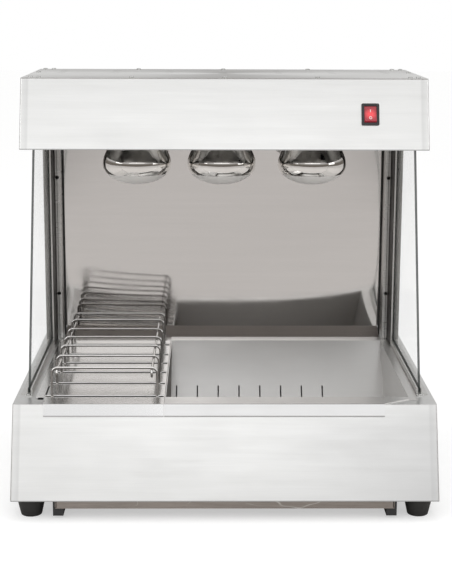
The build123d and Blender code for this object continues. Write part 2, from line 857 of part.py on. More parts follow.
with BuildPart() as hood_roof:
    with BuildSketch(Plane.XY.offset(hood_top - sheet)):
        y, length = span(hood_face(hood_top - sheet), hood_rear_y)
        with Locations((0, y)):
            Rectangle(width, length)
        with Locations(*roof_screw_places):
            Circle(screw_shank + screw_gap, mode=Mode.SUBTRACT)
        with Locations(*[(x, behind(y)) for x in vent_columns for y in vent_rows]):
            SlotOverall(vent_length, vent_width, mode=Mode.SUBTRACT)
    extrude(amount=sheet)
    front_corners = hood_roof.edges().filter_by(Axis.Z).group_by(Axis.Y)[0]
    fillet(front_corners, bend_radius)
keep(hood_roof, "hood_roof")

seats = [seat_facing((x, y, hood_top), UPWARDS) for x, y in roof_screw_places]
keep(fastened(pan_screw(), seats), "roof_screws")

gland_place = (gland_x, hood_top - gland_drop)
with BuildPart() as hood_rear_panel:
    # The panel stands inside the two sides, with a flange under the roof
    with BuildSketch(Plane.XZ.offset(-hood_rear_y)):
        z, panel_height = span(hood_bottom, hood_top - 2 * sheet)
        with Locations((0, z)):
            Rectangle(2 * inner_half, panel_height)
        with Locations(*hood_rear_screw_places):
            Circle(screw_shank + screw_gap, mode=Mode.SUBTRACT)
        with Locations(gland_place):
            Circle(gland_shank + screw_gap, mode=Mode.SUBTRACT)
        with Locations((0, hood_top - rear_vent_drop)):
            with GridLocations(rear_vent_pitch, 12, rear_vent_count, 2):
                SlotOverall(rear_vent_length, vent_width, mode=Mode.SUBTRACT)
    extrude(amount=sheet)
    with BuildSketch(Plane.XY.offset(hood_top - 2 * sheet)):
        y, length = span(hood_rear_y - hood_flange, hood_rear_y)
        with Locations((0, y)):
            Rectangle(2 * (inner_half - hood_flange) - 1, length)
    extrude(amount=sheet)
    with BuildSketch(Plane.XY.offset(hood_top)):
        with Locations(*roof_screw_places):
            Circle(screw_shank + screw_gap)
    extrude(amount=-3 * sheet, mode=Mode.SUBTRACT)
keep(hood_rear_panel, "hood_rear_panel")

seats = [seat_facing((x, hood_rear_y, z), BACKWARDS) for x, z in hood_rear_screw_places]
keep(fastened(pan_screw(), seats), "hood_rear_screws")

# Lamp rail: a shallow channel that hangs under the roof flanges, from side to side
rail_top = hood_top - 2 * sheet
rail_under = rail_top - rail_height
with BuildPart() as lamp_rail:
    y, length = span(behind(rail_front), behind(rail_rear))
    with BuildSketch(Plane.XY.offset(rail_under)):
        with Locations((0, y)):
            Rectangle(2 * inner_half - 1, length)
    extrude(amount=rail_height)
    with BuildSketch(Plane.XY.offset(rail_under + sheet)):
        with Locations((0, y)):
            Rectangle(2 * inner_half + 1, length - 2 * sheet)
    extrude(amount=rail_height, mode=Mode.SUBTRACT)
keep(lamp_rail, "lamp_rail")

# Lamps, each with its screw cap and its ceramic holder
face_z = hood_bottom - lamp_drop
widest_z = face_z + lamp_face
neck_z = face_z + lamp_glass_length
cap_end = neck_z + cap_length
lamp_radius = lamp_diameter / 2
for place, x in lamp_places.items():
    lamp_axis = Axis((x, behind(lamp_depth), 0), (0, 0, 1))
    lamp_plane = upright_plane(x, behind(lamp_depth))
    with BuildPart() as bulb:
        with BuildSketch(lamp_plane):
            with BuildLine():
                EllipticalCenterArc((0, widest_z), lamp_radius, lamp_face, start_angle=270, arc_size=90)
                Spline(
                    (lamp_radius, widest_z),
                    (lamp_radius * 0.88, widest_z + 27),
                    (lamp_radius * 0.50, widest_z + 71),
                    (lamp_neck / 2, neck_z),
                    tangents=((0, 1), (0, 1)),
                )
                Polyline((lamp_neck / 2, neck_z), (0, neck_z), (0, face_z))
            make_face()
        revolve(axis=lamp_axis)
        # Hollow, and open at the neck where the cap closes it
        hollow = lamp_radius - lamp_wall
        with BuildSketch(lamp_plane):
            with BuildLine():
                EllipticalCenterArc((0, widest_z), hollow, lamp_face - lamp_wall, start_angle=270, arc_size=90)
                Spline(
                    (hollow, widest_z),
                    (lamp_radius * 0.88 - lamp_wall, widest_z + 27),
                    (lamp_radius * 0.50 - lamp_wall, widest_z + 71),
                    (lamp_neck / 2 - lamp_wall, neck_z),
                    tangents=((0, 1), (0, 1)),
                )
                Polyline((lamp_neck / 2 - lamp_wall, neck_z), (0, neck_z), (0, face_z + lamp_wall))
            make_face()
        revolve(axis=lamp_axis, mode=Mode.SUBTRACT)
    keep(bulb, f"lamp_bulb_{place}")

    with BuildPart() as cap:
        with BuildSketch(lamp_plane):
            with BuildLine():
                Polyline(
                    (0, neck_z),
                    (cap_diameter / 2, neck_z),
                    (cap_diameter / 2, cap_end - 5),
                    (5, cap_end - 1),
                    (5, cap_end),
                    (0, cap_end),
                    close=True,
                )
            make_face()
        revolve(axis=lamp_axis)
    keep(cap, f"lamp_cap_{place}")

    with BuildPart() as holder:
        holder_low = neck_z + seat_gap
        with BuildSketch(lamp_plane):
            with BuildLine():
                Polyline(
                    (0, cap_end),
                    (holder_bore / 2, cap_end),
                    (holder_bore / 2, holder_low),
                    (holder_diameter / 2 - 2, holder_low),
                    (holder_diameter / 2, holder_low + 3),
                    (holder_diameter / 2, rail_under - holder_flange_height),
                    (holder_flange / 2, rail_under - holder_flange_height + 2),
                    (holder_flange / 2, rail_under),
                    (0, rail_under),
                    close=True,
                )
            make_face()
        revolve(axis=lamp_axis)
    keep(holder, f"lamp_holder_{place}")


# Rocker switch, built on the plane of the hood's leaning front
rocker_radius = hypot(rocker_height / 2, rocker_rise + rocker_pivot)
pocket_half = rocker_radius + rocker_end_gap
pocket_depth = rocker_floor + (rocker_height / 2) * sin(radians(rocker_tilt)) + 0.6
with BuildPart() as switch_housing:
    with BuildSketch(switch_plane):
        RectangleRounded(bezel_width, bezel_height, bezel_round)
    extrude(amount=bezel_thickness, taper=12)
    with BuildSketch(switch_plane):
        Rectangle(switch_body_width, switch_body_height)
    extrude(amount=-switch_body_depth)
    with BuildSketch(switch_plane.offset(bezel_thickness)):
        Rectangle(rocker_width + 2 * rocker_side_gap, 2 * pocket_half)
    extrude(amount=-bezel_thickness - pocket_depth, mode=Mode.SUBTRACT)
    with BuildSketch(switch_plane.offset(-switch_body_depth)):
        with Locations((0, -9), (0, 0), (0, 9)):
            Rectangle(lug_width, lug_thickness)
    extrude(amount=-lug_length)
    pin_plane = Plane(
        origin=switch_plane.from_local_coords((0, 0, -rocker_pivot)), x_dir=(0, 1, 0), z_dir=(1, 0, 0)
    )
    with BuildSketch(pin_plane):
        Circle(rocker_pin + running_gap)
    pin_reach = rocker_width / 2 + rocker_pin_length + 0.3
    extrude(amount=pin_reach, both=True, mode=Mode.SUBTRACT)
keep(switch_housing, "switch_housing")

with BuildPart() as switch_rocker:
    # Seen from its end: a disc about the pivot, with a shallow V across the face and a flat back
    rest_lean = lean + radians(rocker_tilt)
    rest_plane = Plane(pin_plane.origin, x_dir=(0, sin(rest_lean), cos(rest_lean)), z_dir=(1, 0, 0))
    with BuildSketch(rest_plane.offset(-rocker_width / 2)):
        Circle(rocker_radius)
        with BuildLine():
            Polyline(
                (-rocker_height, rocker_pivot + rocker_rise),
                (-rocker_height / 2, rocker_pivot + rocker_rise),
                (0, rocker_pivot + rocker_rise - rocker_dip),
                (rocker_height / 2, rocker_pivot + rocker_rise),
                (rocker_height, rocker_pivot + rocker_rise),
                (rocker_height, rocker_height),
                (-rocker_height, rocker_height),
                close=True,
            )
        make_face(mode=Mode.SUBTRACT)
        with Locations((0, -rocker_floor + rocker_pivot - rocker_height / 2)):
            Rectangle(2 * rocker_height, rocker_height, mode=Mode.SUBTRACT)
    extrude(amount=rocker_width)
    with BuildSketch(pin_plane):
        Circle(rocker_pin)
    extrude(amount=rocker_width / 2 + rocker_pin_length, both=True)
keep(switch_rocker, "switch_rocker")

# Cable gland through the hood's rear panel, and the terminal block inside
with BuildPart() as cable_gland:
    outside = Plane(origin=(gland_x, hood_rear_y, gland_place[1]), x_dir=(1, 0, 0), z_dir=(0, 1, 0))
    with BuildSketch(outside):
        RegularPolygon(gland_flats / 2, 6, major_radius=False)
    extrude(amount=gland_hex)
    with BuildSketch(outside.offset(gland_hex)):
        Circle(gland_flats / 2 - 0.5)
    extrude(amount=gland_dome, taper=30)
    with BuildSketch(outside):
        Circle(gland_shank)
    extrude(amount=-gland_shank_length)
    with BuildSketch(outside.offset(gland_hex + gland_dome)):
        Circle(gland_bore)
    extrude(amount=-gland_hex - gland_dome - gland_shank_length, mode=Mode.SUBTRACT)
    # Locknut on the inside
    with BuildSketch(outside.offset(-sheet)):
        RegularPolygon(gland_flats / 2, 6, major_radius=False)
        Circle(gland_shank + running_gap, mode=Mode.SUBTRACT)
    extrude(amount=-gland_hex)
keep(cable_gland, "cable_gland")

with BuildPart() as terminal_block:
    block_z = hood_top - block_drop
    inside = Plane(origin=(block_x, hood_rear_y - sheet, block_z), x_dir=(1, 0, 0), z_dir=(0, -1, 0))
    with BuildSketch(inside):
        Rectangle(block_width, block_height)
    extrude(amount=block_depth)
    way_pitch = block_width / block_ways
    with BuildSketch(inside.offset(block_depth)):
        with GridLocations(way_pitch, block_height / 2, block_ways, 2):
            Circle(2.2)
    extrude(amount=-6, mode=Mode.SUBTRACT)
    with BuildSketch(inside.offset(block_depth)):
        with GridLocations(way_pitch, 1, block_ways - 1, 1):
            Rectangle(1.5, block_height + 1)
    extrude(amount=-5, mode=Mode.SUBTRACT)
keep(terminal_block, "terminal_block")


# The rim that both inserts hang by: a ledge on the deck and a strip down the base's front
def front_rim(ledge_end):
    """Corners of the section of the ledge and its front strip, seen along X."""
    drop = rim_flange * cos(atan2(base_lean, base_height))
    outer = seat_gap + sheet
    return (
        (ledge_end, rim_under),
        (ledge_end, rim_top),
        (base_face(rim_top, -outer), rim_top),
        (base_face(rim_under - drop, -outer), rim_under - drop),
        (base_face(rim_under - drop, -seat_gap), rim_under - drop),
        (base_face(rim_under, -seat_gap), rim_under),
    )


# Chip pan: a tub with a sloped back that starts at the rear rim, and a slotted drain field
pan_left = divide_x + divide_gap / 2
pan_right = insert_half
pan_front = behind(opening_front) + insert_margin / 2
pan_bottom = deck - pan_depth
back_stretch = hypot(1, pan_back_run)


def pan_back(z, inset=0.0):
    """Y of the pan's sloped back at height z, this far inside its outer face."""
    return behind(opening_rear) - insert_margin / 2 - pan_back_run * (deck - z) - inset * back_stretch


with BuildPart() as chip_pan:
    with BuildSketch(Plane.YZ.offset(pan_left)):
        with BuildLine():
            Polyline(
                (pan_front, rim_top),
                (pan_front, pan_bottom),
                (pan_back(pan_bottom), pan_bottom),
                (pan_back(rim_top), rim_top),
                close=True,
            )
        outer_section = make_face()
        fillet(outer_section.vertices().group_by(Axis.Y)[0], pan_bend + sheet)
    extrude(amount=pan_right - pan_left)
    # Rim plate on the deck: the front right corner is trimmed away towards the side lip
    with BuildSketch(Plane.XY.offset(rim_under)):
        with BuildLine():
            Polyline(
                (pan_left, behind(0)),
                (pan_flange_end, behind(0)),
                (pan_lip_corner, behind(pan_lip_front)),
                (pan_lip_x, behind(pan_lip_front)),
                (pan_lip_x, behind(lip_rear)),
                (pan_right, behind(lip_rear)),
                (pan_right, behind(rim_rear)),
                (pan_left, behind(rim_rear)),
                close=True,
            )
        make_face()
    extrude(amount=sheet)
    with BuildSketch(Plane.YZ.offset(pan_left)):
        with BuildLine():
            Polyline(*front_rim(behind(opening_front)), close=True)
        make_face()
    extrude(amount=pan_flange_end - pan_left)
    # Hollow inside
    with BuildSketch(Plane.YZ.offset(pan_left + sheet)):
        with BuildLine():
            Polyline(
                (pan_front + sheet, rim_top + 1),
                (pan_front + sheet, pan_bottom + sheet),
                (pan_back(pan_bottom + sheet, sheet), pan_bottom + sheet),
                (pan_back(rim_top + 1, sheet), rim_top + 1),
                close=True,
            )
        inner_section = make_face()
        fillet(inner_section.vertices().group_by(Axis.Y)[0], pan_bend)
    extrude(amount=pan_right - pan_left - 2 * sheet, mode=Mode.SUBTRACT)
    # Staggered rows of slots low in the sloped back
    for row in range(slot_rows):
        drop = slot_first_drop + row * slot_row_drop + slot_length / back_stretch / 2
        slot_plane = Plane(
            origin=(0, pan_back(deck - drop, sheet), deck - drop), x_dir=(1, 0, 0), z_dir=(0, -1, pan_back_run)
        )
        first_x = slot_first_x + row * slot_pitch / 2
        with BuildSketch(slot_plane):
            with Locations((first_x + (slot_count - 1) * slot_pitch / 2, 0)):
                with GridLocations(slot_pitch, 1, slot_count, 1):
                    Rectangle(slot_width, slot_length)
        extrude(amount=2 * sheet, both=True, mode=Mode.SUBTRACT)
keep(chip_pan, "chip_pan")

# Bag rack tray: a sheet folded into stepped treads, with a skirt down each side and a lip on the left
rack_left = -(half - tray_side_inset)
rack_right = divide_x - divide_gap / 2
tray_notch = behind(pan_lip_front)


def tread_line(drop):
    """The folded sheet's line from front to rear, this far below its upper face.

    Each tread rises to the rear and ends in a narrow land, behind which the sheet drops.
    """
    points = []
    for station, next_station in zip(tread_fronts, tread_fronts[1:]):
        step_face = behind(station + tread_land / 2) - drop
        points.append((step_face, rim_top - drop))
        points.append((step_face, rim_top - tread_step - drop))
        points.append((behind(next_station - tread_land / 2), rim_top - drop))
    return points


with BuildPart() as rack_tray:
    with BuildSketch(Plane.YZ.offset(rack_left)):
        with BuildLine():
            Polyline(
                (tray_notch, rim_under),
                (tray_notch, rim_top),
                *tread_line(0),
                (behind(rim_rear), rim_top),
                (behind(rim_rear), rim_under),
                *reversed(tread_line(sheet)),
                close=True,
            )
        make_face()
    extrude(amount=rack_right - rack_left)
    with BuildSketch(Plane.YZ.offset(tray_flange_start)):
        with BuildLine():
            Polyline(*front_rim(tray_notch + sheet), close=True)
        make_face()
    extrude(amount=rack_right - tray_flange_start)
    skirt_front = behind(opening_front) + insert_margin / 2
    skirt_rear = behind(opening_rear) - insert_margin / 2
    skirt_low = rim_top - skirt_depth
    with BuildSketch(Plane.YZ.offset(rack_right - sheet)):
        with BuildLine():
            Polyline(
                (skirt_front, skirt_low),
                (skirt_front, rim_top),
                *tread_line(0),
                (skirt_rear, rim_top),
                (skirt_rear, skirt_low),
                close=True,
            )
        make_face()
    extrude(amount=sheet)
    # The left skirt stands up to the lip, which lies on the deck beside the treads
    with BuildSketch(Plane.YZ.offset(rack_left - sheet)):
        y, length = span(skirt_front, skirt_rear)
        z, height = span(skirt_low, rim_top)
        with Locations((y, z)):
            Rectangle(length, height)
    extrude(amount=sheet)
    with BuildSketch(Plane.XY.offset(rim_under)):
        x, lip_width = span(rack_left, -(half - tray_lip_inset))
        y, length = span(behind(tray_lip_front), behind(lip_rear))
        with Locations((x, y)):
            Rectangle(lip_width, length)
    extrude(amount=sheet)
    # An open slit beside the first tread
    with BuildSketch(Plane.XY.offset(rim_top + 1)):
        y, length = span(behind(tread_fronts[0] + 2 * tread_land), behind(tread_fronts[1] - 3 * tread_land))
        with Locations((rack_left + tray_slit / 2, y)):
            Rectangle(tray_slit, length)
    extrude(amount=-tread_step - 2 * sheet - 2, mode=Mode.SUBTRACT)
keep(rack_tray, "rack_tray")

# Wire arches that stand on the treads, and the two rods that tie them together
arch_top = deck + arch_height - arch_wire / 2
leg_places = (rack_left + arch_inset_left, rack_right - arch_inset_right)
for number, station in enumerate(arch_stations, start=1):
    with BuildPart() as arch:
        with BuildLine(Plane.XZ.offset(-behind(station))):
            FilletPolyline(
                (leg_places[0], rim_top),
                (leg_places[0], arch_top),
                (leg_places[1], arch_top),
                (leg_places[1], rim_top),
                radius=arch_bend,
            )
        with BuildSketch(Plane(origin=(leg_places[0], behind(station), rim_top), z_dir=(0, 0, 1))):
            Circle(arch_wire / 2)
        sweep()
    keep(arch, f"rack_arch_{number}")

rod_z = arch_top - arch_wire - weld_gap
for word, rod_x in (("left", leg_places[0] + rod_inset), ("right", leg_places[1] - rod_inset)):
    with BuildPart() as rod:
        rod_start = behind(last_arch) + arch_wire / 2
        with BuildLine(Plane.YZ.offset(rod_x)):
            straight = Line((rod_start, rod_z), (behind(tread_fronts[0]) - arch_wire / 2, rod_z))
            JernArc(start=straight @ 1, tangent=straight % 1, radius=rod_curl, arc_size=215)
        with BuildSketch(Plane(origin=(rod_x, rod_start, rod_z), z_dir=(0, -1, 0))):
            Circle(arch_wire / 2)
        sweep()
    keep(rod, f"rack_rod_{word}")
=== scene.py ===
"""Looks of the chip scuttle: finishes, small detail pieces, light and camera.

Metres, in the part's own frame: +X is to the right, the open front faces -Y and +Z is up.
"""

import json
import math
import bpy
from mathutils import Matrix, Vector


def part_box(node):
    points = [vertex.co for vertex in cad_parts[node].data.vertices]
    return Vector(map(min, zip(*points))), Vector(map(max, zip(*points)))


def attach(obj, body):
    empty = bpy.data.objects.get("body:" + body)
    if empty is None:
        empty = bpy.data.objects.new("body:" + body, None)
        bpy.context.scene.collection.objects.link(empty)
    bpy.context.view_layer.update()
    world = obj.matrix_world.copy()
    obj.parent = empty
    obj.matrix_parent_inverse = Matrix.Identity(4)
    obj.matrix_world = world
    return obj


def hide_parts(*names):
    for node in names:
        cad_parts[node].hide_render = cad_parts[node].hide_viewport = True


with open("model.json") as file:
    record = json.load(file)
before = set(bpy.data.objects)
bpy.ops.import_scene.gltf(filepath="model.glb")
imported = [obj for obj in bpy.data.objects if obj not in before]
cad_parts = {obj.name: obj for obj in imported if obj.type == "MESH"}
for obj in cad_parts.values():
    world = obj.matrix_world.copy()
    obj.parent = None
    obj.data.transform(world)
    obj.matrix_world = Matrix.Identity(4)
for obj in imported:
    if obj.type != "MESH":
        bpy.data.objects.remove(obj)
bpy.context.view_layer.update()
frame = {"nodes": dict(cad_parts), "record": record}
nodes = frame["nodes"]
scene = bpy.context.scene


# Wiring of shader nodes
def put(tree, kind, inputs=None, **settings):
    """Add a node. Sockets given as inputs are linked, and other values are set on the input."""
    made = tree.nodes.new(kind)
    for name, value in settings.items():
        setattr(made, name, value)
    for name, value in (inputs or {}).items():
        if isinstance(value, bpy.types.NodeSocket):
            tree.links.new(value, made.inputs[name])
        else:
            made.inputs[name].default_value = value
    return made


def sum_up(tree, operation, first, second=0.0, third=0.0):
    """One sum on numbers, given back as the socket with the answer."""
    return put(tree, "ShaderNodeMath", {0: first, 1: second, 2: third}, operation=operation).outputs[0]


def product(tree, first, second):
    """One number times another."""
    return sum_up(tree, "MULTIPLY", first, second)


def between(tree, value, low, high, to_low=0.0, to_high=1.0):
    """Map a value from one range to another, and stop at its ends."""
    places = {"Value": value, "From Min": low, "From Max": high, "To Min": to_low, "To Max": to_high}
    return put(tree, "ShaderNodeMapRange", places, clamp=True).outputs["Result"]


def stretched(tree, vector, along, across, depth):
    """Scale coordinates differently on each axis."""
    places = {"Vector": vector, "Scale": (along, across, depth)}
    return put(tree, "ShaderNodeMapping", places).outputs["Vector"]


def noise(tree, vector, scale, detail=3.0, roughness=0.5):
    """Soft noise between 0 and 1."""
    places = {"Vector": vector, "Scale": scale, "Detail": detail, "Roughness": roughness}
    return put(tree, "ShaderNodeTexNoise", places).outputs[0]


def mixed(tree, share, first, second):
    """Mix two colours, each a socket or its red, green and blue."""
    made = put(tree, "ShaderNodeMix", {0: share}, data_type="RGBA")
    for place, value in ((6, first), (7, second)):
        if isinstance(value, bpy.types.NodeSocket):
            tree.links.new(value, made.inputs[place])
        else:
            made.inputs[place].default_value = (*value, 1.0)
    return made.outputs[2]


def axes_of(tree, vector):
    """The three numbers of a vector, each as a socket."""
    return put(tree, "ShaderNodeSeparateXYZ", {0: vector}).outputs


def facing_of(tree):
    """The three numbers of the direction that the flat face looks in."""
    return axes_of(tree, put(tree, "ShaderNodeNewGeometry").outputs["True Normal"])


def new_group(name, inputs, outputs):
    """An empty shader group with named sockets."""
    group = bpy.data.node_groups.new(name, "ShaderNodeTree")
    for label, kind, default in inputs:
        socket = group.interface.new_socket(name=label, in_out="INPUT", socket_type=kind)
        if default is not None:
            socket.default_value = default
    for label, kind in outputs:
        group.interface.new_socket(name=label, in_out="OUTPUT", socket_type=kind)
    return group, group.nodes.new("NodeGroupInput").outputs, group.nodes.new("NodeGroupOutput").inputs


NUMBER = "NodeSocketFloat"
PLACE = "NodeSocketVector"


def make_grain_direction():
    """Turn coordinates so that the first axis runs along the rolling of the sheet on every face."""
    group, given, asked = new_group("grain direction", [("Place", PLACE, None)], [("Place", PLACE)])
    on_side = sum_up(group, "GREATER_THAN", sum_up(group, "ABSOLUTE", facing_of(group)[0]), 0.7)
    axes = axes_of(group, given["Place"])
    turned = put(group, "ShaderNodeCombineXYZ", {0: axes[1], 1: axes[0], 2: axes[2]}).outputs[0]
    choice = put(group, "ShaderNodeMix", {0: on_side, 4: given["Place"], 5: turned}, data_type="VECTOR")
    group.links.new(choice.outputs[1], asked["Place"])
    return group


def make_brushing():
    """Long fine lines from a belt brush, with wider faint streaks between them."""
    group, given, asked = new_group(
        "brushing",
        [("Place", PLACE, None), ("Lines", NUMBER, 900.0), ("Stretch", NUMBER, 60.0)],
        [("Tone", NUMBER), ("Height", NUMBER)],
    )
    axes = axes_of(group, given["Place"])
    along = sum_up(group, "DIVIDE", given["Lines"], given["Stretch"])
    fine = put(
        group,
        "ShaderNodeCombineXYZ",
        {
            0: product(group, axes[0], along),
            1: product(group, axes[1], given["Lines"]),
            2: product(group, axes[2], given["Lines"]),
        },
    ).outputs[0]
    lines = noise(group, fine, 1.0, 2.0, 0.6)
    streaks = noise(group, stretched(group, fine, 0.3, 0.12, 0.12), 1.0, 3.0, 0.55)
    blended = sum_up(group, "MULTIPLY_ADD", lines, 0.45, product(group, streaks, 0.55))
    group.links.new(between(group, blended, 0.3, 0.7), asked["Tone"])
    group.links.new(lines, asked["Height"])
    return group


def make_handling():
    """Wiped smears and a few hairline scratches from use and cleaning."""
    group, given, asked = new_group(
        "handling",
        [("Place", PLACE, None), ("Scale", NUMBER, 1.0)],
        [("Smear", NUMBER), ("Scratch", NUMBER)],
    )
    scaled = {0: given["Place"], "Scale": given["Scale"]}
    place = put(group, "ShaderNodeVectorMath", scaled, operation="SCALE").outputs[0]
    smear = noise(group, stretched(group, place, 7.0, 16.0, 16.0), 1.0, 4.0, 0.6)
    group.links.new(between(group, smear, 0.42, 0.72), asked["Smear"])
    hair = noise(group, stretched(group, place, 9.0, 34.0, 34.0), 1.0, 1.0, 0.4)
    off_line = sum_up(group, "ABSOLUTE", sum_up(group, "SUBTRACT", hair, 0.5))
    thin = between(group, off_line, 0.0, 0.006, 1.0, 0.0)
    where = between(group, noise(group, place, 21.0, 2.0), 0.52, 0.62)
    group.links.new(product(group, thin, where), asked["Scratch"])
    return group


def make_settled_dust():
    """Crumbs and dust that lie on upward faces."""
    group, given, asked = new_group("settled dust", [("Place", PLACE, None)], [("Dust", NUMBER)])
    upward = between(group, facing_of(group)[2], 0.75, 0.98)
    patches = between(group, noise(group, given["Place"], 14.0, 5.0, 0.65), 0.4, 0.75)
    specks = between(group, noise(group, given["Place"], 420.0, 2.0, 0.6), 0.55, 0.72)
    both = sum_up(group, "MULTIPLY_ADD", specks, 0.6, product(group, patches, 0.4))
    group.links.new(product(group, both, upward), asked["Dust"])
    return group


def make_waviness():
    """The slow waves that thin rolled sheet takes when it is folded and screwed down."""
    group, given, asked = new_group("waviness", [("Place", PLACE, None)], [("Height", NUMBER)])
    slow = noise(group, given["Place"], 2.6, 1.0, 0.4)
    quick = noise(group, stretched(group, given["Place"], 6.0, 9.0, 13.0), 1.0, 1.0, 0.4)
    group.links.new(sum_up(group, "MULTIPLY_ADD", quick, 0.14, slow), asked["Height"])
    return group


def make_moulding():
    """The fine spark texture of a moulding tool, with a slow flow pattern."""
    group, given, asked = new_group(
        "moulding",
        [("Place", PLACE, None), ("Grain", NUMBER, 1600.0)],
        [("Tone", NUMBER), ("Height", NUMBER)],
    )
    grain = noise(group, given["Place"], given["Grain"], 2.0, 0.6)
    flow = noise(group, given["Place"], 45.0, 2.0, 0.5)
    tone = sum_up(group, "MULTIPLY_ADD", flow, 0.5, product(group, grain, 0.5))
    group.links.new(tone, asked["Tone"])
    group.links.new(grain, asked["Height"])
    return group


def make_painted_wall_shade():
    """Painted shade below the rim: strong on the wall that faces right and weaker on the rearward one, with a
    slightly uneven top line.
    """
    inputs = [("Place", PLACE, None), ("Rim", NUMBER, 0.17)]
    group, given, asked = new_group("painted wall shade", inputs, [("Share", NUMBER)])
    facing = facing_of(group)
    rearward = product(group, facing[1], 0.72)
    rightward = between(group, sum_up(group, "MAXIMUM", facing[0], rearward), 0.6, 0.9)
    height = axes_of(group, given["Place"])[2]
    uneven = sum_up(group, "MULTIPLY_ADD", noise(group, given["Place"], 30.0, 3.0), 0.006, height)
    below = sum_up(group, "LESS_THAN", uneven, given["Rim"])
    group.links.new(product(group, rightward, below), asked["Share"])
    return group


def make_front_lip():
    """The lip that hangs over the front edge, painted a darker grey than the rest of its steel as shade, and
    painted shadow lines along its two bends.
    """
    deck_front = -0.2329
    upper_bend = -0.2338
    lower_edge = -0.2408
    outputs = [("Share", NUMBER), ("Line", NUMBER)]
    group, given, asked = new_group("front lip", [("Place", PLACE, None)], outputs)
    depth = axes_of(group, given["Place"])[1]
    share = sum_up(group, "LESS_THAN", depth, deck_front)
    upper = sum_up(group, "GREATER_THAN", depth, upper_bend)
    lower = sum_up(group, "LESS_THAN", depth, lower_edge)
    group.links.new(share, asked["Share"])
    line = product(group, share, sum_up(group, "MAXIMUM", upper, lower))
    group.links.new(line, asked["Line"])
    return group


def make_painted_pan_shade():
    """Painted shade on a pressed pan: darker to the right and lower down, with soft random clouds."""
    group, given, asked = new_group("painted pan shade", [("Place", PLACE, None)], [("Share", NUMBER)])
    place = axes_of(group, given["Place"])
    across = between(group, place[0], -0.06, 0.30, 0.0, 0.75)
    low = between(group, place[2], 0.17, 0.07, 0.0, 0.45)
    cloud = noise(group, given["Place"], 9.0, 3.0)
    spread = sum_up(group, "MULTIPLY_ADD", cloud, 0.3, sum_up(group, "ADD", across, low))
    group.links.new(between(group, spread, 0.15, 1.35, 0.0, 1.0), asked["Share"])
    return group


def make_bend_band():
    """Painted reflection and shade on a folded front: darker bands beside its side bends, painted shadow
    lines along its edges, and a darker lower right end.
    """
    inputs = [("Place", PLACE, None), ("Half", NUMBER, 0.35)]
    outputs = [("Share", NUMBER), ("Line", NUMBER), ("Lower right", NUMBER)]
    group, given, asked = new_group("bend band", inputs, outputs)
    hood_fold = 0.5815
    base_fold = 0.0334
    frontward = sum_up(group, "LESS_THAN", facing_of(group)[1], -0.7)
    place = axes_of(group, given["Place"])
    inward = sum_up(group, "SUBTRACT", given["Half"], sum_up(group, "ABSOLUTE", place[0]))
    outer = between(group, inward, 0.0040, 0.0115, 0.35, 1.0)
    band = product(group, outer, between(group, inward, 0.0120, 0.0150, 1.0, 0.0))
    off_fold = sum_up(group, "ABSOLUTE", sum_up(group, "SUBTRACT", place[2], hood_fold))
    hood_edge = sum_up(group, "LESS_THAN", off_fold, 0.0012)
    base_edge = sum_up(group, "LESS_THAN", place[2], base_fold)
    side_edge = sum_up(group, "LESS_THAN", inward, 0.0010)
    edge = sum_up(group, "MAXIMUM", hood_edge, sum_up(group, "MAXIMUM", base_edge, side_edge))
    right_end = between(group, place[0], 0.05, 0.33)
    low_down = between(group, place[2], 0.20, 0.14)
    # Darker towards the lower right end of the front.
    marked = product(group, right_end, low_down)
    for label, share in (("Share", band), ("Line", edge), ("Lower right", marked)):
        group.links.new(product(group, frontward, share), asked[label])
    return group


GRAIN_DIRECTION = make_grain_direction()
BRUSHING = make_brushing()
HANDLING = make_handling()
SETTLED_DUST = make_settled_dust()
WAVINESS = make_waviness()
MOULDING = make_moulding()
PAINTED_WALL_SHADE = make_painted_wall_shade()
FRONT_LIP = make_front_lip()
PAINTED_PAN_SHADE = make_painted_pan_shade()
BEND_BAND = make_bend_band()


def use(tree, group, **inputs):
    """Place a shared group in a material."""
    return put(tree, "ShaderNodeGroup", inputs, node_tree=group).outputs


def new_finish(name, **constants):
    """A material with its Principled shader, and the place of each point on the part."""
    material = bpy.data.materials.new(name)
    material.use_nodes = True
    tree = material.node_tree
    shader = tree.nodes["Principled BSDF"]
    for label, value in constants.items():
        shader.inputs[label.replace("_", " ")].default_value = value
    place = put(tree, "ShaderNodeTexCoord").outputs["Object"]
    return material, tree, shader, place


def feed(shader, label, socket):
    """Link a socket to an input of a material's shader."""
    shader.id_data.links.new(socket, shader.inputs[label])


def bump(tree, shader, height, depth, under=None):
    """Raise or sink the surface by a height pattern, this deep in metres."""
    inputs = {"Strength": 1.0, "Distance": depth, "Height": height}
    if under is not None:
        inputs["Normal"] = under
    made = put(tree, "ShaderNodeBump", inputs).outputs[0]
    feed(shader, "Normal", made)
    return made


SCRATCH_TINT = (0.9, 0.9, 0.88)
DUST_TINT = (0.46, 0.42, 0.36)
PALE_DUST_TINT = (0.4, 0.38, 0.34)
# Colours of painted shade on the pan: over the whole pressing, then on its inner walls.
PAINTED_PAN_SHADE_TINT = (0.60, 0.59, 0.575)
WALL_SHADE_TINT = (0.060, 0.048, 0.040)
LIP_SHADOW_LINE_TINT = (0.34, 0.335, 0.33)
# Colours beside the folds: the painted band, the darker lower right end, and the painted shadow lines.
FOLD_TINTS = {"Share": (0.56, 0.56, 0.555), "Lower right": (0.52, 0.52, 0.522), "Line": (0.22, 0.22, 0.218)}
PAN_RIM = 0.1795


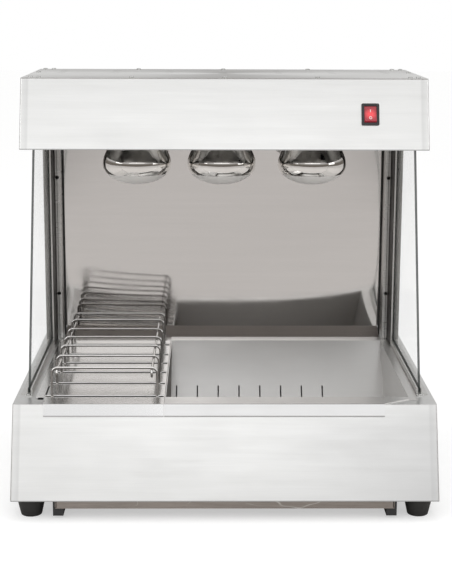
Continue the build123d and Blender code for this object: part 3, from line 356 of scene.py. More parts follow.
def metal(
    name, bright, dull, smooth, rough, lines, stretch,
    wave=0.0, brushed=0.00001, grain=True, dust=0.0, anisotropy=0.0,
    smear=0.06, scratch=0.25, pan_shade=0.0, bend=0.0, lip=0.0,
):
    """Any of the metals: brush lines, smears, scratches, dust and the waves of its sheet.

    Bright and dull are the colours of the brush lines, and smooth and rough their roughness. Lines
    counts them per metre, and stretch says how long they run. Wave and brushed are depths in metres.
    Lip is the grey of the front lip, painted darker than the rest of the sheet as shade. The others say how
    strongly each mark shows, painted shade among them.
    """
    material, tree, shader, place = new_finish(name, Metallic=1.0)
    shader.inputs["Anisotropic"].default_value = anisotropy
    if anisotropy:
        tangent = put(tree, "ShaderNodeTangent", direction_type="RADIAL", axis="Z")
        feed(shader, "Tangent", tangent.outputs[0])
    turned = use(tree, GRAIN_DIRECTION, Place=place)["Place"] if grain else place
    brush = use(tree, BRUSHING, Place=turned, Lines=lines, Stretch=stretch)
    marked = use(tree, HANDLING, Place=turned, Scale=1.0)
    colour = mixed(tree, brush["Tone"], bright, dull)
    hair = product(tree, marked["Scratch"], scratch)
    colour = mixed(tree, hair, colour, SCRATCH_TINT)
    polish = between(tree, brush["Tone"], 0.0, 1.0, smooth, rough)
    polish = sum_up(tree, "MULTIPLY_ADD", marked["Smear"], smear, polish)
    if dust:
        lying = product(tree, use(tree, SETTLED_DUST, Place=place)["Dust"], dust)
        colour = mixed(tree, lying, colour, DUST_TINT)
        polish = sum_up(tree, "MULTIPLY_ADD", lying, 0.4, polish)
    if bend:
        # Painted reflection and shade on the folded fronts: darker bands by the side bends and dark lines
        # along the folds and edges; also a darker lower right end.
        fold = use(tree, BEND_BAND, Place=place)
        for label, strength in (("Share", bend), ("Lower right", 0.5), ("Line", 0.75)):
            share = product(tree, fold[label], strength)
            colour = mixed(tree, share, colour, FOLD_TINTS[label])
    if pan_shade:
        # Painted shade: the pan's colour darkens towards the right and lower down.
        right_low_shade = use(tree, PAINTED_PAN_SHADE, Place=place)["Share"]
        colour = mixed(tree, right_low_shade, colour, PAINTED_PAN_SHADE_TINT)
        # Painted shade: the pan's inner walls below the rim go dark brown where they face right or rearward.
        wall = use(tree, PAINTED_WALL_SHADE, Place=place, Rim=PAN_RIM)["Share"]
        share = product(tree, wall, pan_shade)
        colour = mixed(tree, share, colour, WALL_SHADE_TINT)
        polish = sum_up(tree, "MULTIPLY_ADD", share, 0.3, polish)
    if lip:
        # Painted shade on the lip: a darker grey than the rest of the sheet, and dark shadow lines along its
        # upper bend and lower edge.
        front = use(tree, FRONT_LIP, Place=place)
        colour = mixed(tree, front["Share"], colour, (lip, lip, lip))
        colour = mixed(tree, front["Line"], colour, LIP_SHADOW_LINE_TINT)
    feed(shader, "Base Color", colour)
    feed(shader, "Roughness", polish)
    under = None
    if wave:
        under = bump(tree, shader, use(tree, WAVINESS, Place=place)["Height"], wave)
    bump(tree, shader, brush["Height"], brushed, under)
    return material


def polished_wire(name, bright, dull):
    """Round polished wire with painted light and shade: coloured bright along its top and dark on its sides
    and below.
    """
    material, tree, shader, place = new_finish(name, Metallic=1.0)
    facing = put(tree, "ShaderNodeNewGeometry").outputs["Normal"]
    # Painted light and shade: faces turned upward get the bright colour and the sides and underside the dark
    # one, with a little random patchiness.
    patches = noise(tree, place, 60.0, 3.0)
    upward = sum_up(tree, "MULTIPLY_ADD", patches, 0.2, axes_of(tree, facing)[2])
    lit_top = between(tree, upward, 0.0, 0.75)
    brush = use(tree, BRUSHING, Place=place, Lines=500.0, Stretch=8.0)
    marked = use(tree, HANDLING, Place=place, Scale=2.0)
    feed(shader, "Base Color", mixed(tree, lit_top, dull, bright))
    polish = between(tree, lit_top, 0.0, 1.0, 0.26, 0.10)
    feed(shader, "Roughness", sum_up(tree, "MULTIPLY_ADD", marked["Smear"], 0.05, polish))
    bump(tree, shader, brush["Height"], 0.000003)
    return material


def lamp_glass(name, frosted_below):
    """A reflector lamp: silvered glass above this height, and frosted glass below it."""
    material, tree, shader, place = new_finish(name)
    height = axes_of(tree, place)[2]
    soft_edge = 0.0004
    frosted = between(tree, height, frosted_below - soft_edge, frosted_below + soft_edge, 1.0, 0.0)
    brush = use(tree, BRUSHING, Place=place, Lines=60.0, Stretch=1.0)
    marked = use(tree, HANDLING, Place=place, Scale=1.5)
    silver = mixed(tree, brush["Tone"], (0.90, 0.885, 0.86), (0.84, 0.82, 0.79))
    frost = (0.74, 0.715, 0.69)
    feed(shader, "Base Color", mixed(tree, frosted, silver, frost))
    feed(shader, "Metallic", sum_up(tree, "SUBTRACT", 1.0, frosted))
    polish = sum_up(tree, "MULTIPLY_ADD", frosted, 0.36, 0.03)
    feed(shader, "Roughness", sum_up(tree, "MULTIPLY_ADD", marked["Smear"], 0.03, polish))
    bump(tree, shader, use(tree, WAVINESS, Place=place)["Height"], 0.00015)
    return material


def moulded(name, colour, other, rough, grain, depth, dust=0.0, coat=0.0):
    """Rubber, plastic, powder coat or glaze: a mould's texture, slight colour flow and dust."""
    material, tree, shader, place = new_finish(name, Coat_Weight=coat)
    texture = use(tree, MOULDING, Place=place, Grain=grain)
    marked = use(tree, HANDLING, Place=place, Scale=2.0)
    tint = mixed(tree, texture["Tone"], colour, other)
    polish = between(tree, texture["Tone"], 0.3, 0.7, rough * 0.85, min(1.0, rough * 1.15))
    polish = sum_up(tree, "MULTIPLY_ADD", marked["Smear"], 0.08, polish)
    if dust:
        lying = product(tree, use(tree, SETTLED_DUST, Place=place)["Dust"], dust)
        tint = mixed(tree, lying, tint, PALE_DUST_TINT)
    feed(shader, "Base Color", tint)
    feed(shader, "Roughness", polish)
    bump(tree, shader, texture["Height"], depth)
    return material


def clear_pane(name):
    """Clear float glass: faint wipe marks on the faces, a dark ground front edge and pale other edges."""
    material, tree, shader, place = new_finish(name, Metallic=0.0, IOR=1.5)
    facing = facing_of(tree)
    edge = sum_up(tree, "LESS_THAN", sum_up(tree, "ABSOLUTE", facing[0]), 0.6)
    front_edge = sum_up(tree, "LESS_THAN", facing[1], -0.5)
    wiped = use(tree, HANDLING, Place=place, Scale=1.4)
    gloss = put(tree, "ShaderNodeFresnel", {"IOR": 1.45}).outputs[0]
    face = sum_up(tree, "MULTIPLY_ADD", gloss, 0.16, 0.012)
    face = sum_up(tree, "MULTIPLY_ADD", wiped["Smear"], 0.015, face)
    alpha = sum_up(tree, "MULTIPLY_ADD", edge, 0.85, face)
    alpha = sum_up(tree, "MINIMUM", alpha, 0.94)
    pane = (0.80, 0.83, 0.82)
    pale_edge = (0.40, 0.42, 0.41)
    uneven = noise(tree, place, 60.0, 2.0)
    dark_edge = mixed(tree, uneven, (0.010, 0.014, 0.013), (0.024, 0.032, 0.030))
    ground = mixed(tree, front_edge, pale_edge, dark_edge)
    feed(shader, "Base Color", mixed(tree, edge, pane, ground))
    feed(shader, "Alpha", alpha)
    polish = sum_up(tree, "MULTIPLY_ADD", wiped["Smear"], 0.05, 0.02)
    polish = sum_up(tree, "MULTIPLY_ADD", edge, 0.5, polish)
    feed(shader, "Roughness", polish)
    return material


def lit_lens(name, centre, reach):
    """Red clear plastic with a small lamp behind it, brightest in the middle."""
    constants = {"Coat_Weight": 0.6, "Coat_Roughness": 0.06, "Emission_Strength": 0.75}
    material, tree, shader, place = new_finish(name, **constants)
    away = put(tree, "ShaderNodeVectorMath", {0: place, 1: centre}, operation="DISTANCE").outputs["Value"]
    flow = use(tree, MOULDING, Place=place, Grain=900.0)
    near = between(tree, away, reach * 0.25, reach, 1.0, 0.0)
    glow = sum_up(tree, "MULTIPLY_ADD", flow["Tone"], 0.1, near)
    plastic = mixed(tree, glow, (0.28, 0.03, 0.04), (0.72, 0.07, 0.08))
    shine = mixed(tree, glow, (0.10, 0.0, 0.006), (0.80, 0.05, 0.06))
    feed(shader, "Base Color", plastic)
    feed(shader, "Emission Color", shine)
    feed(shader, "Roughness", between(tree, flow["Tone"], 0.3, 0.7, 0.2, 0.34))
    bump(tree, shader, flow["Height"], 0.000004)
    return material


FROSTED_BELOW = 0.5205
LENS_DEPTH = 0.0012
rocker_low, rocker_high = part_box("switch_rocker")
rocker_middle = Vector([(low + high) / 2 for low, high in zip(rocker_low, rocker_high)])
lens_middle = rocker_middle - Vector((0.0, 0.0, LENS_DEPTH))

FINISHES = {
    "brushed_steel": metal(
        "brushed steel sheet", (0.75, 0.75, 0.742), (0.71, 0.71, 0.70), 0.28, 0.35, 900.0, 70.0,
        wave=0.0006, anisotropy=0.55, dust=0.12, scratch=0.08, bend=0.5,
    ),
    "satin_steel": metal(
        "satin steel pressing", (0.83, 0.82, 0.81), (0.80, 0.79, 0.78), 0.34, 0.40, 900.0, 50.0,
        wave=0.0004, dust=0.06, scratch=0.15, brushed=0.000004,
    ),
    "tray_steel": metal(
        "tray steel", (0.72, 0.71, 0.70), (0.68, 0.67, 0.66), 0.13, 0.18, 900.0, 50.0,
        wave=0.0002, dust=0.05, scratch=0.15, brushed=0.000003, lip=0.59,
    ),
    "pan_steel": metal(
        "pan steel", (1.0, 0.99, 0.98), (0.97, 0.96, 0.95), 0.30, 0.36, 900.0, 50.0,
        wave=0.00008, dust=0.06, scratch=0.1, brushed=0.000002, pan_shade=0.95, lip=0.71,
    ),
    "foot_steel": metal(
        "dull folded foot", (0.56, 0.515, 0.49), (0.50, 0.46, 0.435), 0.36, 0.44, 800.0, 90.0,
        brushed=0.000002, scratch=0.3,
    ),
    "polished_steel": metal(
        "polished steel panel", (0.70, 0.682, 0.667), (0.665, 0.647, 0.632), 0.03, 0.05, 800.0, 90.0,
        brushed=0.000001, smear=0.05, scratch=0.10,
    ),
    "used_steel": metal(
        "used tray steel", (0.42, 0.38, 0.35), (0.31, 0.28, 0.255), 0.25, 0.45, 500.0, 30.0,
        dust=0.3, scratch=0.6, smear=0.15,
    ),
    "drawn_aluminium": metal(
        "drawn aluminium", (0.66, 0.655, 0.64), (0.58, 0.575, 0.56), 0.24, 0.34, 900.0, 80.0,
        brushed=0.000006,
    ),
    "edge_strip": metal(
        "extruded edge strip", (0.32, 0.315, 0.305), (0.26, 0.255, 0.245), 0.26, 0.36, 900.0, 80.0,
    ),
    "screw_steel": metal(
        "bright screw steel", (0.62, 0.62, 0.61), (0.42, 0.42, 0.41), 0.2, 0.38, 700.0, 2.0, grain=False,
    ),
    "lamp_cap": metal(
        "dull brass cap", (0.66, 0.54, 0.33), (0.48, 0.38, 0.22), 0.28, 0.45, 400.0, 4.0, grain=False,
    ),
    # Wire: the second colour is its painted lit top, the third its painted shade on its sides and below.
    "bright_wire": polished_wire("bright steel wire", (0.88, 0.865, 0.85), (0.15, 0.14, 0.13)),
    "lamp_mirror": lamp_glass("silvered lamp glass", FROSTED_BELOW),
    "clear_glass": clear_pane("clear glass"),
    "red_lens": lit_lens("lit red lens", lens_middle, 0.0125),
    "black_rubber": moulded(
        "black rubber", (0.014, 0.013, 0.012), (0.026, 0.025, 0.024), 0.6, 1200.0, 0.00003, dust=0.15,
    ),
    "black_steel": moulded(
        "black powder coat", (0.02, 0.02, 0.021), (0.032, 0.032, 0.033), 0.42, 900.0, 0.00003, dust=0.2,
    ),
    "black_plastic": moulded(
        "black plastic", (0.016, 0.016, 0.017), (0.028, 0.028, 0.029), 0.36, 1800.0, 0.00001, dust=0.1,
    ),
    "dark_trim": moulded(
        "dark trim strip", (0.030, 0.027, 0.024), (0.050, 0.046, 0.042), 0.38, 1500.0, 0.00001, dust=0.1,
    ),
    "pale_plastic": moulded("pale plastic", (0.70, 0.67, 0.58), (0.62, 0.59, 0.50), 0.4, 1400.0, 0.00001),
    "mark_white": moulded("white marks", (0.88, 0.88, 0.86), (0.82, 0.82, 0.80), 0.4, 1500.0, 0.000004),
    "white_ceramic": moulded(
        "glazed ceramic", (0.82, 0.81, 0.76), (0.74, 0.72, 0.66), 0.22, 300.0, 0.00002, coat=0.5,
    ),
}

for part in frame["record"]["subparts"]:
    shown = nodes[part["node"]].data.materials
    shown.clear()
    shown.append(FINISHES[part["material_slot"]])


# Work on meshes
UP = Vector((0.0, 0.0, 1.0))
DOWN = Vector((0.0, 0.0, -1.0))
FRONT = Vector((0.0, -1.0, 0.0))
BACK = Vector((0.0, 1.0, 0.0))
SAME_PLACE = 0.000002


def deselect():
    """Leave no object selected."""
    bpy.ops.object.select_all(action="DESELECT")


def select_only(piece):
    """Make a piece the selected and the active one."""
    deselect()
    piece.select_set(True)
    bpy.context.view_layer.objects.active = piece


def at_origin(piece):
    """Put a piece's place into its mesh, as the part's own nodes have it."""
    select_only(piece)
    bpy.ops.object.transform_apply(location=True, rotation=True, scale=True)


def finish_with(piece, kind, **settings):
    """Add a modifier with its settings, and apply it."""
    select_only(piece)
    made = piece.modifiers.new("step", kind)
    for name, value in settings.items():
        setattr(made, name, value)
    bpy.ops.object.modifier_apply(modifier=made.name)


def soften_edges(piece, width):
    """Round the sharp edges of a piece by this width."""
    finish_with(piece, "BEVEL", width=width, segments=2, limit_method="ANGLE")


def cut_away(piece, tool):
    """Cut the space of a tool out of a piece, and drop the tool."""
    finish_with(piece, "BOOLEAN", object=tool, operation="DIFFERENCE", solver="EXACT")
    bpy.data.objects.remove(tool)


def pick(piece, kind, wanted):
    """Go into edit mode with the wanted faces or edges selected, and nothing else."""
    bpy.ops.object.mode_set(mode="EDIT")
    bpy.ops.mesh.select_mode(type=kind)
    bpy.ops.mesh.select_all(action="DESELECT")
    bpy.ops.object.mode_set(mode="OBJECT")
    parts = piece.data.polygons if kind == "FACE" else piece.data.edges
    for part in parts:
        part.select = wanted(part)
    bpy.ops.object.mode_set(mode="EDIT")


def leave():
    """Go back from edit mode to object mode."""
    bpy.ops.object.mode_set(mode="OBJECT")


def extrude(step):
    """Extrude what is selected by this step."""
    bpy.ops.mesh.extrude_region_move(TRANSFORM_OT_translate={"value": step})


def edge_middle(piece, edge):
    """The middle of an edge."""
    first, second = (piece.data.vertices[corner].co for corner in edge.vertices)
    return (first + second) / 2


def smooth(piece, degrees=30.0):
    """Shade a piece smooth, but for edges sharper than this angle."""
    select_only(piece)
    bpy.ops.object.shade_smooth_by_angle(angle=math.radians(degrees))


def own_copy(piece, place):
    """A copy with its own mesh, at a place given as a matrix."""
    made = piece.copy()
    made.data = piece.data.copy()
    scene.collection.objects.link(made)
    made.matrix_world = place
    return made


def copies(piece, places, name):
    """Copy a piece to each place, join the copies, and drop the first."""
    made = [own_copy(piece, place) for place in places]
    bpy.data.objects.remove(piece)
    return joined(made, name)


def joined(pieces, name):
    """Join pieces into one, with its place in its mesh."""
    deselect()
    for piece in pieces:
        piece.select_set(True)
    bpy.context.view_layer.objects.active = pieces[0]
    if len(pieces) > 1:
        bpy.ops.object.join()
    whole = bpy.context.object
    whole.name = name
    at_origin(whole)
    return whole


def dress(piece, finish, body, *replaced):
    """Give a piece its finish and its body, and let it stand for the nodes that it replaces."""
    piece.data.materials.clear()
    piece.data.materials.append(FINISHES[finish])
    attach(piece, body)
    if replaced:
        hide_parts(*replaced)


def first_point(name, place):
    """A new piece of one vertex at this place, in edit mode with the vertex selected."""
    deselect()
    bpy.ops.mesh.primitive_plane_add(size=0.001, location=(0.0, 0.0, 0.0))
    piece = bpy.context.object
    piece.name = name
    bpy.ops.object.mode_set(mode="EDIT")
    bpy.ops.mesh.select_mode(type="VERT")
    bpy.ops.mesh.select_all(action="SELECT")
    bpy.ops.mesh.merge(type="CENTER")
    bpy.ops.transform.translate(value=place)
    return piece


def turned(name, profile, steps):
    """Spin a profile of radius and height about the upright axis."""
    piece = first_point(name, (profile[0][0], 0.0, profile[0][1]))
    for (radius, height), (next_radius, next_height) in zip(profile, profile[1:]):
        extrude((next_radius - radius, 0.0, next_height - height))
    bpy.ops.mesh.select_all(action="SELECT")
    bpy.ops.mesh.spin(steps=steps, angle=2.0 * math.pi, center=(0.0, 0.0, 0.0), axis=UP)
    bpy.ops.mesh.select_all(action="SELECT")
    bpy.ops.mesh.remove_doubles(threshold=SAME_PLACE)
    bpy.ops.mesh.normals_make_consistent(inside=False)
    leave()
    return piece


def profile_bar(name, outline, low, high, soften):
    """A straight upright bar with this outline in plan, its edges softened."""
    piece = first_point(name, (*outline[0], low))
    for (x, y), (next_x, next_y) in zip(outline, outline[1:] + outline[:1]):
        extrude((next_x - x, next_y - y, 0.0))
    bpy.ops.mesh.select_all(action="SELECT")
    bpy.ops.mesh.remove_doubles(threshold=SAME_PLACE)
    bpy.ops.mesh.edge_face_add()
    extrude((0.0, 0.0, high - low))
    bpy.ops.mesh.select_all(action="SELECT")
    bpy.ops.mesh.normals_make_consistent(inside=False)
    leave()
    soften_edges(piece, soften)
    return piece


def laid_bar(name, outline, low, high, soften):
    """A straight bar from left to right with this outline of depth and height."""
    piece = profile_bar(name, outline, low, high, soften)
    piece.matrix_world = Matrix(((0, 0, 1, 0), (1, 0, 0, 0), (0, 1, 0, 0), (0, 0, 0, 1)))
    at_origin(piece)
    return piece


def bowed_back_panel():
    """The back panel, flat at its edges and bowed backwards between them, as its reflections show."""
    low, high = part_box("back_panel")
    bow = 0.0048
    bow_half = 0.312
    bow_height = 0.387
    foot_half = 0.3088
    foot_rise = 0.015
    thickness = 0.0012
    lower_end = 0.0001
    foot_start = 0.0004
    front = high[1] - thickness
    foot_top = low[2] + foot_rise + thickness
    deselect()
    bpy.ops.mesh.primitive_grid_add(
        x_subdivisions=96,
        y_subdivisions=64,
        size=1.0,
        location=((low[0] + high[0]) / 2, front, (foot_top + high[2]) / 2),
        rotation=(math.radians(90.0), 0.0, 0.0),
    )
    panel = bpy.context.object
    panel.name = "bowed_back_panel"
    panel.scale = (high[0] - low[0], high[2] - foot_top, 1.0)
    at_origin(panel)
    for vertex in panel.data.vertices:
        across = min(1.0, abs(vertex.co.x) / bow_half)
        up = (vertex.co.z - foot_top) / bow_height
        if up < 1.0:
            vertex.co.y += bow * (1.0 - across**3) * math.sin(math.pi * up)

    def at_the_foot(edge):
        """Whether an edge lies along the lower end of the sheet, where its foot starts."""
        middle = edge_middle(panel, edge)
        return middle.z < foot_top + lower_end and abs(middle.x) < foot_half

    pick(panel, "EDGE", at_the_foot)
    extrude((0.0, low[1] - front, -foot_rise))
    leave()
    finish_with(panel, "SOLIDIFY", thickness=thickness, offset=-1.0)
    smooth(panel)
    dress(panel, "polished_steel", "cabinet", "back_panel")
    panel.data.materials.append(FINISHES["foot_steel"])
    for face in panel.data.polygons:
        if face.center.z < foot_top - foot_start and abs(face.center.x) < foot_half:
            face.material_index = 1


bowed_back_panel()

# Strips of the uprights in plan, for the left one: how far to the right, and how far to the rear
EDGE_STRIP = [
    (-0.3384, 0.1824),
    (-0.3384, 0.1812),
    (-0.3362, 0.1806),
    (-0.3338, 0.1806),
    (-0.3316, 0.1812),
    (-0.3316, 0.1824),
]
# In the step of each upright: a dark strip, painted shade for its recess.
STEP_SHADE_STRIP = [
    (-0.3239, 0.1865),
    (-0.3229, 0.1875),
    (-0.3229, 0.2030),
    (-0.3234, 0.2040),
    (-0.3229, 0.2050),
    (-0.3229, 0.2245),
    (-0.3212, 0.2262),
    (-0.3212, 0.2274),
    (-0.3239, 0.2274),
]
JOINT_LINE = [
    (-0.3181, 0.22745),
    (-0.3181, 0.2273),
    (-0.3177, 0.2271),
    (-0.3173, 0.2273),
    (-0.3173, 0.22745),
]


def upright_trim():
    """A strip outside each pane, a dark strip over the step of each upright as painted shade of its recess,
    and the line where its face is joined.
    """
    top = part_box("hood_wrap")[0][2] - 0.0003
    deck_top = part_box("panel_seal_left")[0][2]
    above_deck = deck_top + 0.0004
    above_channel = deck_top + 0.0115
    soft = 0.0002
    hardly_soft = 0.00004
    for side, name in ((1.0, "left"), (-1.0, "right")):
        for piece_name, outline, low, finish, soften in (
            ("pane_gasket", EDGE_STRIP, above_channel, "edge_strip", soft),
            # Painted shade: a dark strip over the step's side face.
            ("step_shade_strip", STEP_SHADE_STRIP, above_deck, "dark_trim", soft),
            ("joint_line", JOINT_LINE, above_deck, "dark_trim", hardly_soft),
        ):
            outline = [(side * x, y) for x, y in outline]
            piece = profile_bar(f"{piece_name}_{name}", outline, low, top, soften)
            smooth(piece, 40.0)
            dress(piece, finish, "cabinet")


upright_trim()


# Screws, in the places of the plain ones of the CAD
SCREW_REACH = 0.0125
TURN_PER_SCREW = 0.65


def screw_seats(node, facing, rise):
    """Where the screws of a CAD node sit: the middle of the underside of each head."""
    across = [axis for axis in range(3) if abs(facing[axis]) < 0.5]
    along = 3 - sum(across)
    groups = []
    for vertex in nodes[node].data.vertices:
        for group in groups:
            if all(abs(vertex.co[axis] - group[0][axis]) < SCREW_REACH for axis in across):
                group.append(vertex.co)
                break
        else:
            groups.append([vertex.co])
    seats = []
    for group in groups:
        seat = [(min(co[axis] for co in group) + max(co[axis] for co in group)) / 2 for axis in range(3)]
        tip = max(co[along] * facing[along] for co in group)
        seat[along] = (tip - rise) * facing[along]
        seats.append(Vector(seat))
    return seats


def screw_places(node, facing, rise):
    """A place at each seat of a CAD node, each turned its own way about its axis."""
    stand = facing.to_track_quat("Z", "Y").to_matrix().to_4x4()
    places = []
    for number, seat in enumerate(screw_seats(node, facing, rise)):
        turn = Matrix.Rotation(number * TURN_PER_SCREW, 4, "Z")
        places.append(Matrix.Translation(seat) @ stand @ turn)
    return places


def cross_screw(head, rise, shank, length):
    """A pan head screw along +Z with a cross recess, the underside of its head at the origin."""
    head_rounding = rise * 0.6
    slot_height = rise * 1.1
    slot_length = head * 1.05
    slot_width = head * 0.22
    deselect()
    bpy.ops.mesh.primitive_cylinder_add(vertices=28, radius=head, depth=rise, location=(0.0, 0.0, rise / 2))
    screw = bpy.context.object
    at_origin(screw)
    pick(screw, "EDGE", lambda edge: edge_middle(screw, edge).z > rise * 0.99)
    bpy.ops.mesh.bevel(offset=head_rounding, segments=4, profile=0.5, affect="EDGES")
    leave()
    pick(screw, "FACE", lambda face: face.normal.z < -0.9)
    bpy.ops.mesh.inset(thickness=head - shank, depth=0.0)
    extrude((0.0, 0.0, -length))
    leave()
    slot_middle = (0.0, 0.0, slot_height)
    for turn in (0.0, 90.0):
        deselect()
        turned_by = (0.0, 0.0, math.radians(turn))
        bpy.ops.mesh.primitive_cube_add(size=1.0, location=slot_middle, rotation=turned_by)
        bar = bpy.context.object
        bar.scale = (slot_length, slot_width, slot_height)
        at_origin(bar)
        cut_away(screw, bar)
    smooth(screw)
    return screw


def dress_screws(node, facing, head=0.004, rise=0.0023, shank=0.0019, length=0.005):
    """Replace a CAD node of plain screws by screws with a cross recess, each turned its own way."""
    places = screw_places(node, facing, rise)
    screw = cross_screw(head, rise, shank, length)
    dress(copies(screw, places, f"{node}_with_recess"), "screw_steel", "cabinet", node)


dress_screws("roof_screws", UP)
dress_screws("clip_screws", UP, length=0.0062)
dress_screws("back_panel_screws", FRONT, head=0.0034, length=0.0062)
dress_screws("hood_rear_screws", BACK)
dress_screws("rear_panel_screws", BACK)
dress_screws("runner_screws", DOWN, length=0.0072)
dress_screws("upright_base_screws", DOWN, length=0.0152)


# The bolts of the feet, with their nuts above the floor of the base
def foot_fasteners():
    """Foot bolts with a cross recess, each with its six-sided nut."""
    head = 0.006
    head_rise = 0.004
    shank = 0.003
    length = 0.0222
    hole_radius = 0.0031
    hole_depth = 0.02
    nut_height = 0.004
    nut_corner = 0.0057735
    nut_middle = (0.0, 0.0, -0.0192)
    corner_turn = (0.0, 0.0, math.radians(30.0))
    bolt = cross_screw(head, head_rise, shank, length)
    deselect()
    bpy.ops.mesh.primitive_cylinder_add(
        vertices=6, radius=nut_corner, depth=nut_height, location=nut_middle, rotation=corner_turn
    )
    nut = bpy.context.object
    at_origin(nut)
    deselect()
    bpy.ops.mesh.primitive_cylinder_add(
        vertices=32, radius=hole_radius, depth=hole_depth, location=nut_middle
    )
    hole = bpy.context.object
    at_origin(hole)
    cut_away(nut, hole)
    soften_edges(nut, 0.0003)
    smooth(nut)
    pair = joined([bolt, nut], "foot_bolt_and_nut")
    places = screw_places("foot_bolts", DOWN, head_rise)
    dress(copies(pair, places, "foot_bolts_with_nuts"), "screw_steel", "cabinet", "foot_bolts")


foot_fasteners()


# The screw caps of the lamps: a rolled thread, then a shoulder up to the contact.
# The shoulder is given by radius, and by how far below the top that radius lies.
CAP_SHOULDER = (
    (0.0098, 0.0036),
    (0.0066, 0.0022),
    (0.0050, 0.0012),
    (0.0046, 0.0002),
    (0.0036, 0.0),
    (0.0, 0.0),
)


def stood_in(piece, node, name):
    """Move a turned piece from the middle of the part onto the upright axis of a CAD node."""
    low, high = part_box(node)
    middle = Vector(((low[0] + high[0]) / 2.0, (low[1] + high[1]) / 2.0, 0.0))
    return copies(piece, [Matrix.Translation(middle)], name)


def threaded_cap(node):
    """The screw cap of one lamp, with the ridges of its thread."""
    low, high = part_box(node)
    radius = (high[0] - low[0]) / 2.0
    depth = 0.0005
    pitch = 0.0032
    turns = 5
    steps_per_turn = 6
    thread_start = low[2] + 0.0015
    profile = [(0.0, low[2]), (radius - 0.0008, low[2])]
    for step in range(steps_per_turn * turns + 1):
        ridge = depth * math.cos(2.0 * math.pi * step / steps_per_turn)
        profile.append((radius - depth + ridge, thread_start + pitch * step / steps_per_turn))
    profile.append((radius - 0.0004, high[2] - 0.0054))
    profile += [(reach, high[2] - drop) for reach, drop in CAP_SHOULDER]
    cap = stood_in(turned(f"{node}_thread", profile, 48), node, f"{node}_threaded")
    smooth(cap, 50.0)
    dress(cap, "lamp_cap", "cabinet", node)


LAMP_SIDES = ("left", "centre", "right")
for side in LAMP_SIDES:
    threaded_cap(f"lamp_cap_{side}")


# The lamps, blown smooth: a rounded face, a waist up to the neck, and a thin wall
LAMP_WALL = 0.0015
LAMP_FACE = 0.036
LAMP_NECK_RADIUS = 0.0165
FACE_STEPS = 18
SIDE_STEPS = 8


def lamp_side(radius, bottom, widest, neck_radius, neck):
    """Radius and height of the lamp's side from the middle of its face up to its neck.

    The face is a quarter of an ellipse. Above it a smooth curve runs through four knots, each with
    the slope that the curve has there.
    """
    side = []
    for step in range(FACE_STEPS + 1):
        turn = math.radians(90.0 / FACE_STEPS * step)
        side.append((radius * math.sin(turn), widest - (widest - bottom) * math.cos(turn)))
    shoulder = (radius * 0.88, widest + 0.027)
    waist = (radius * 0.50, widest + 0.071)
    knots = [(radius, widest), shoulder, waist, (neck_radius, neck)]
    slopes = [(0.0, 0.034), (-0.5 * (radius - waist[0]), 0.0355), (-0.0205, 0.045), (0.0, 0.040)]
    for start, end, leaving, coming in zip(knots, knots[1:], slopes, slopes[1:]):
        for step in range(1, SIDE_STEPS + 1):
            t = step / SIDE_STEPS
            weights = (2 * t**3 - 3 * t**2 + 1, t**3 - 2 * t**2 + t, 3 * t**2 - 2 * t**3, t**3 - t**2)
            parts = (start, leaving, end, coming)
            side.append(tuple(sum(w * part[axis] for w, part in zip(weights, parts)) for axis in (0, 1)))
    return side


def smooth_lamp(node):
    """The glass of one lamp, hollow and open at its neck."""
    low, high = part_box(node)
    radius = (high[0] - low[0]) / 2.0
    bottom = low[2]
    neck = high[2]
    widest = bottom + LAMP_FACE
    inner_neck = LAMP_NECK_RADIUS - LAMP_WALL
    outer = lamp_side(radius, bottom, widest, LAMP_NECK_RADIUS, neck)
    inner = lamp_side(radius - LAMP_WALL, bottom + LAMP_WALL, widest, inner_neck, neck)
    lamp = stood_in(turned(f"{node}_glass", outer + inner[::-1], 96), node, f"{node}_blown")
    smooth(lamp)
    dress(lamp, "lamp_mirror", "cabinet", node)


for side in LAMP_SIDES:
    smooth_lamp(f"lamp_bulb_{side}")


# Marks of the rocker: a bar for on and a ring for off, inlaid in white
ROCKER_PIVOT = Vector((0.249, -0.045636, 0.639686))
HOOD_LEAN = math.atan2(0.041, 0.119)
ROCKER_AT_REST = HOOD_LEAN + math.radians(9.0)
ROCKER_RISE = 0.0046
WEDGE = 1.2 / 13.25


def bar_mark():
    """The bar that stands for on."""
    bpy.ops.mesh.primitive_cube_add(size=1.0)
    mark = bpy.context.object
    mark.scale = (0.0011, 0.0047, 0.0005)
    return mark


def ring_mark():
    """The ring that stands for off."""
    bpy.ops.mesh.primitive_torus_add(
        major_segments=32, minor_segments=8, major_radius=0.0020, minor_radius=0.0005
    )
    mark = bpy.context.object
    mark.scale = (1.0, 1.15, 0.45)
    return mark


def rocker_marks():
    """Both marks, each lying in its half of the rocker's face, which slopes away from the middle."""
    up_face = Vector((0.0, math.sin(ROCKER_AT_REST), math.cos(ROCKER_AT_REST)))
    out = Vector((0.0, -math.cos(ROCKER_AT_REST), math.sin(ROCKER_AT_REST)))
    face = Matrix((Vector((1, 0, 0)), up_face, out)).transposed().to_4x4()
    marks = []
    for side, make_mark, height in ((1.0, bar_mark, 0.0054), (-1.0, ring_mark, -0.0074)):
        deselect()
        mark = make_mark()
        at_origin(mark)
        soften_edges(mark, 0.0001)
        centre = ROCKER_PIVOT + up_face * height + out * (ROCKER_RISE + abs(height) * WEDGE)
        slope = Matrix.Rotation(side * math.atan(WEDGE), 4, "X")
        mark.matrix_world = Matrix.Translation(centre) @ face @ slope
        marks.append(mark)
    made = joined(marks, "rocker_marks")
    smooth(made)
    made.data.materials.append(FINISHES["mark_white"])
    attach(made, "switch_rocker")


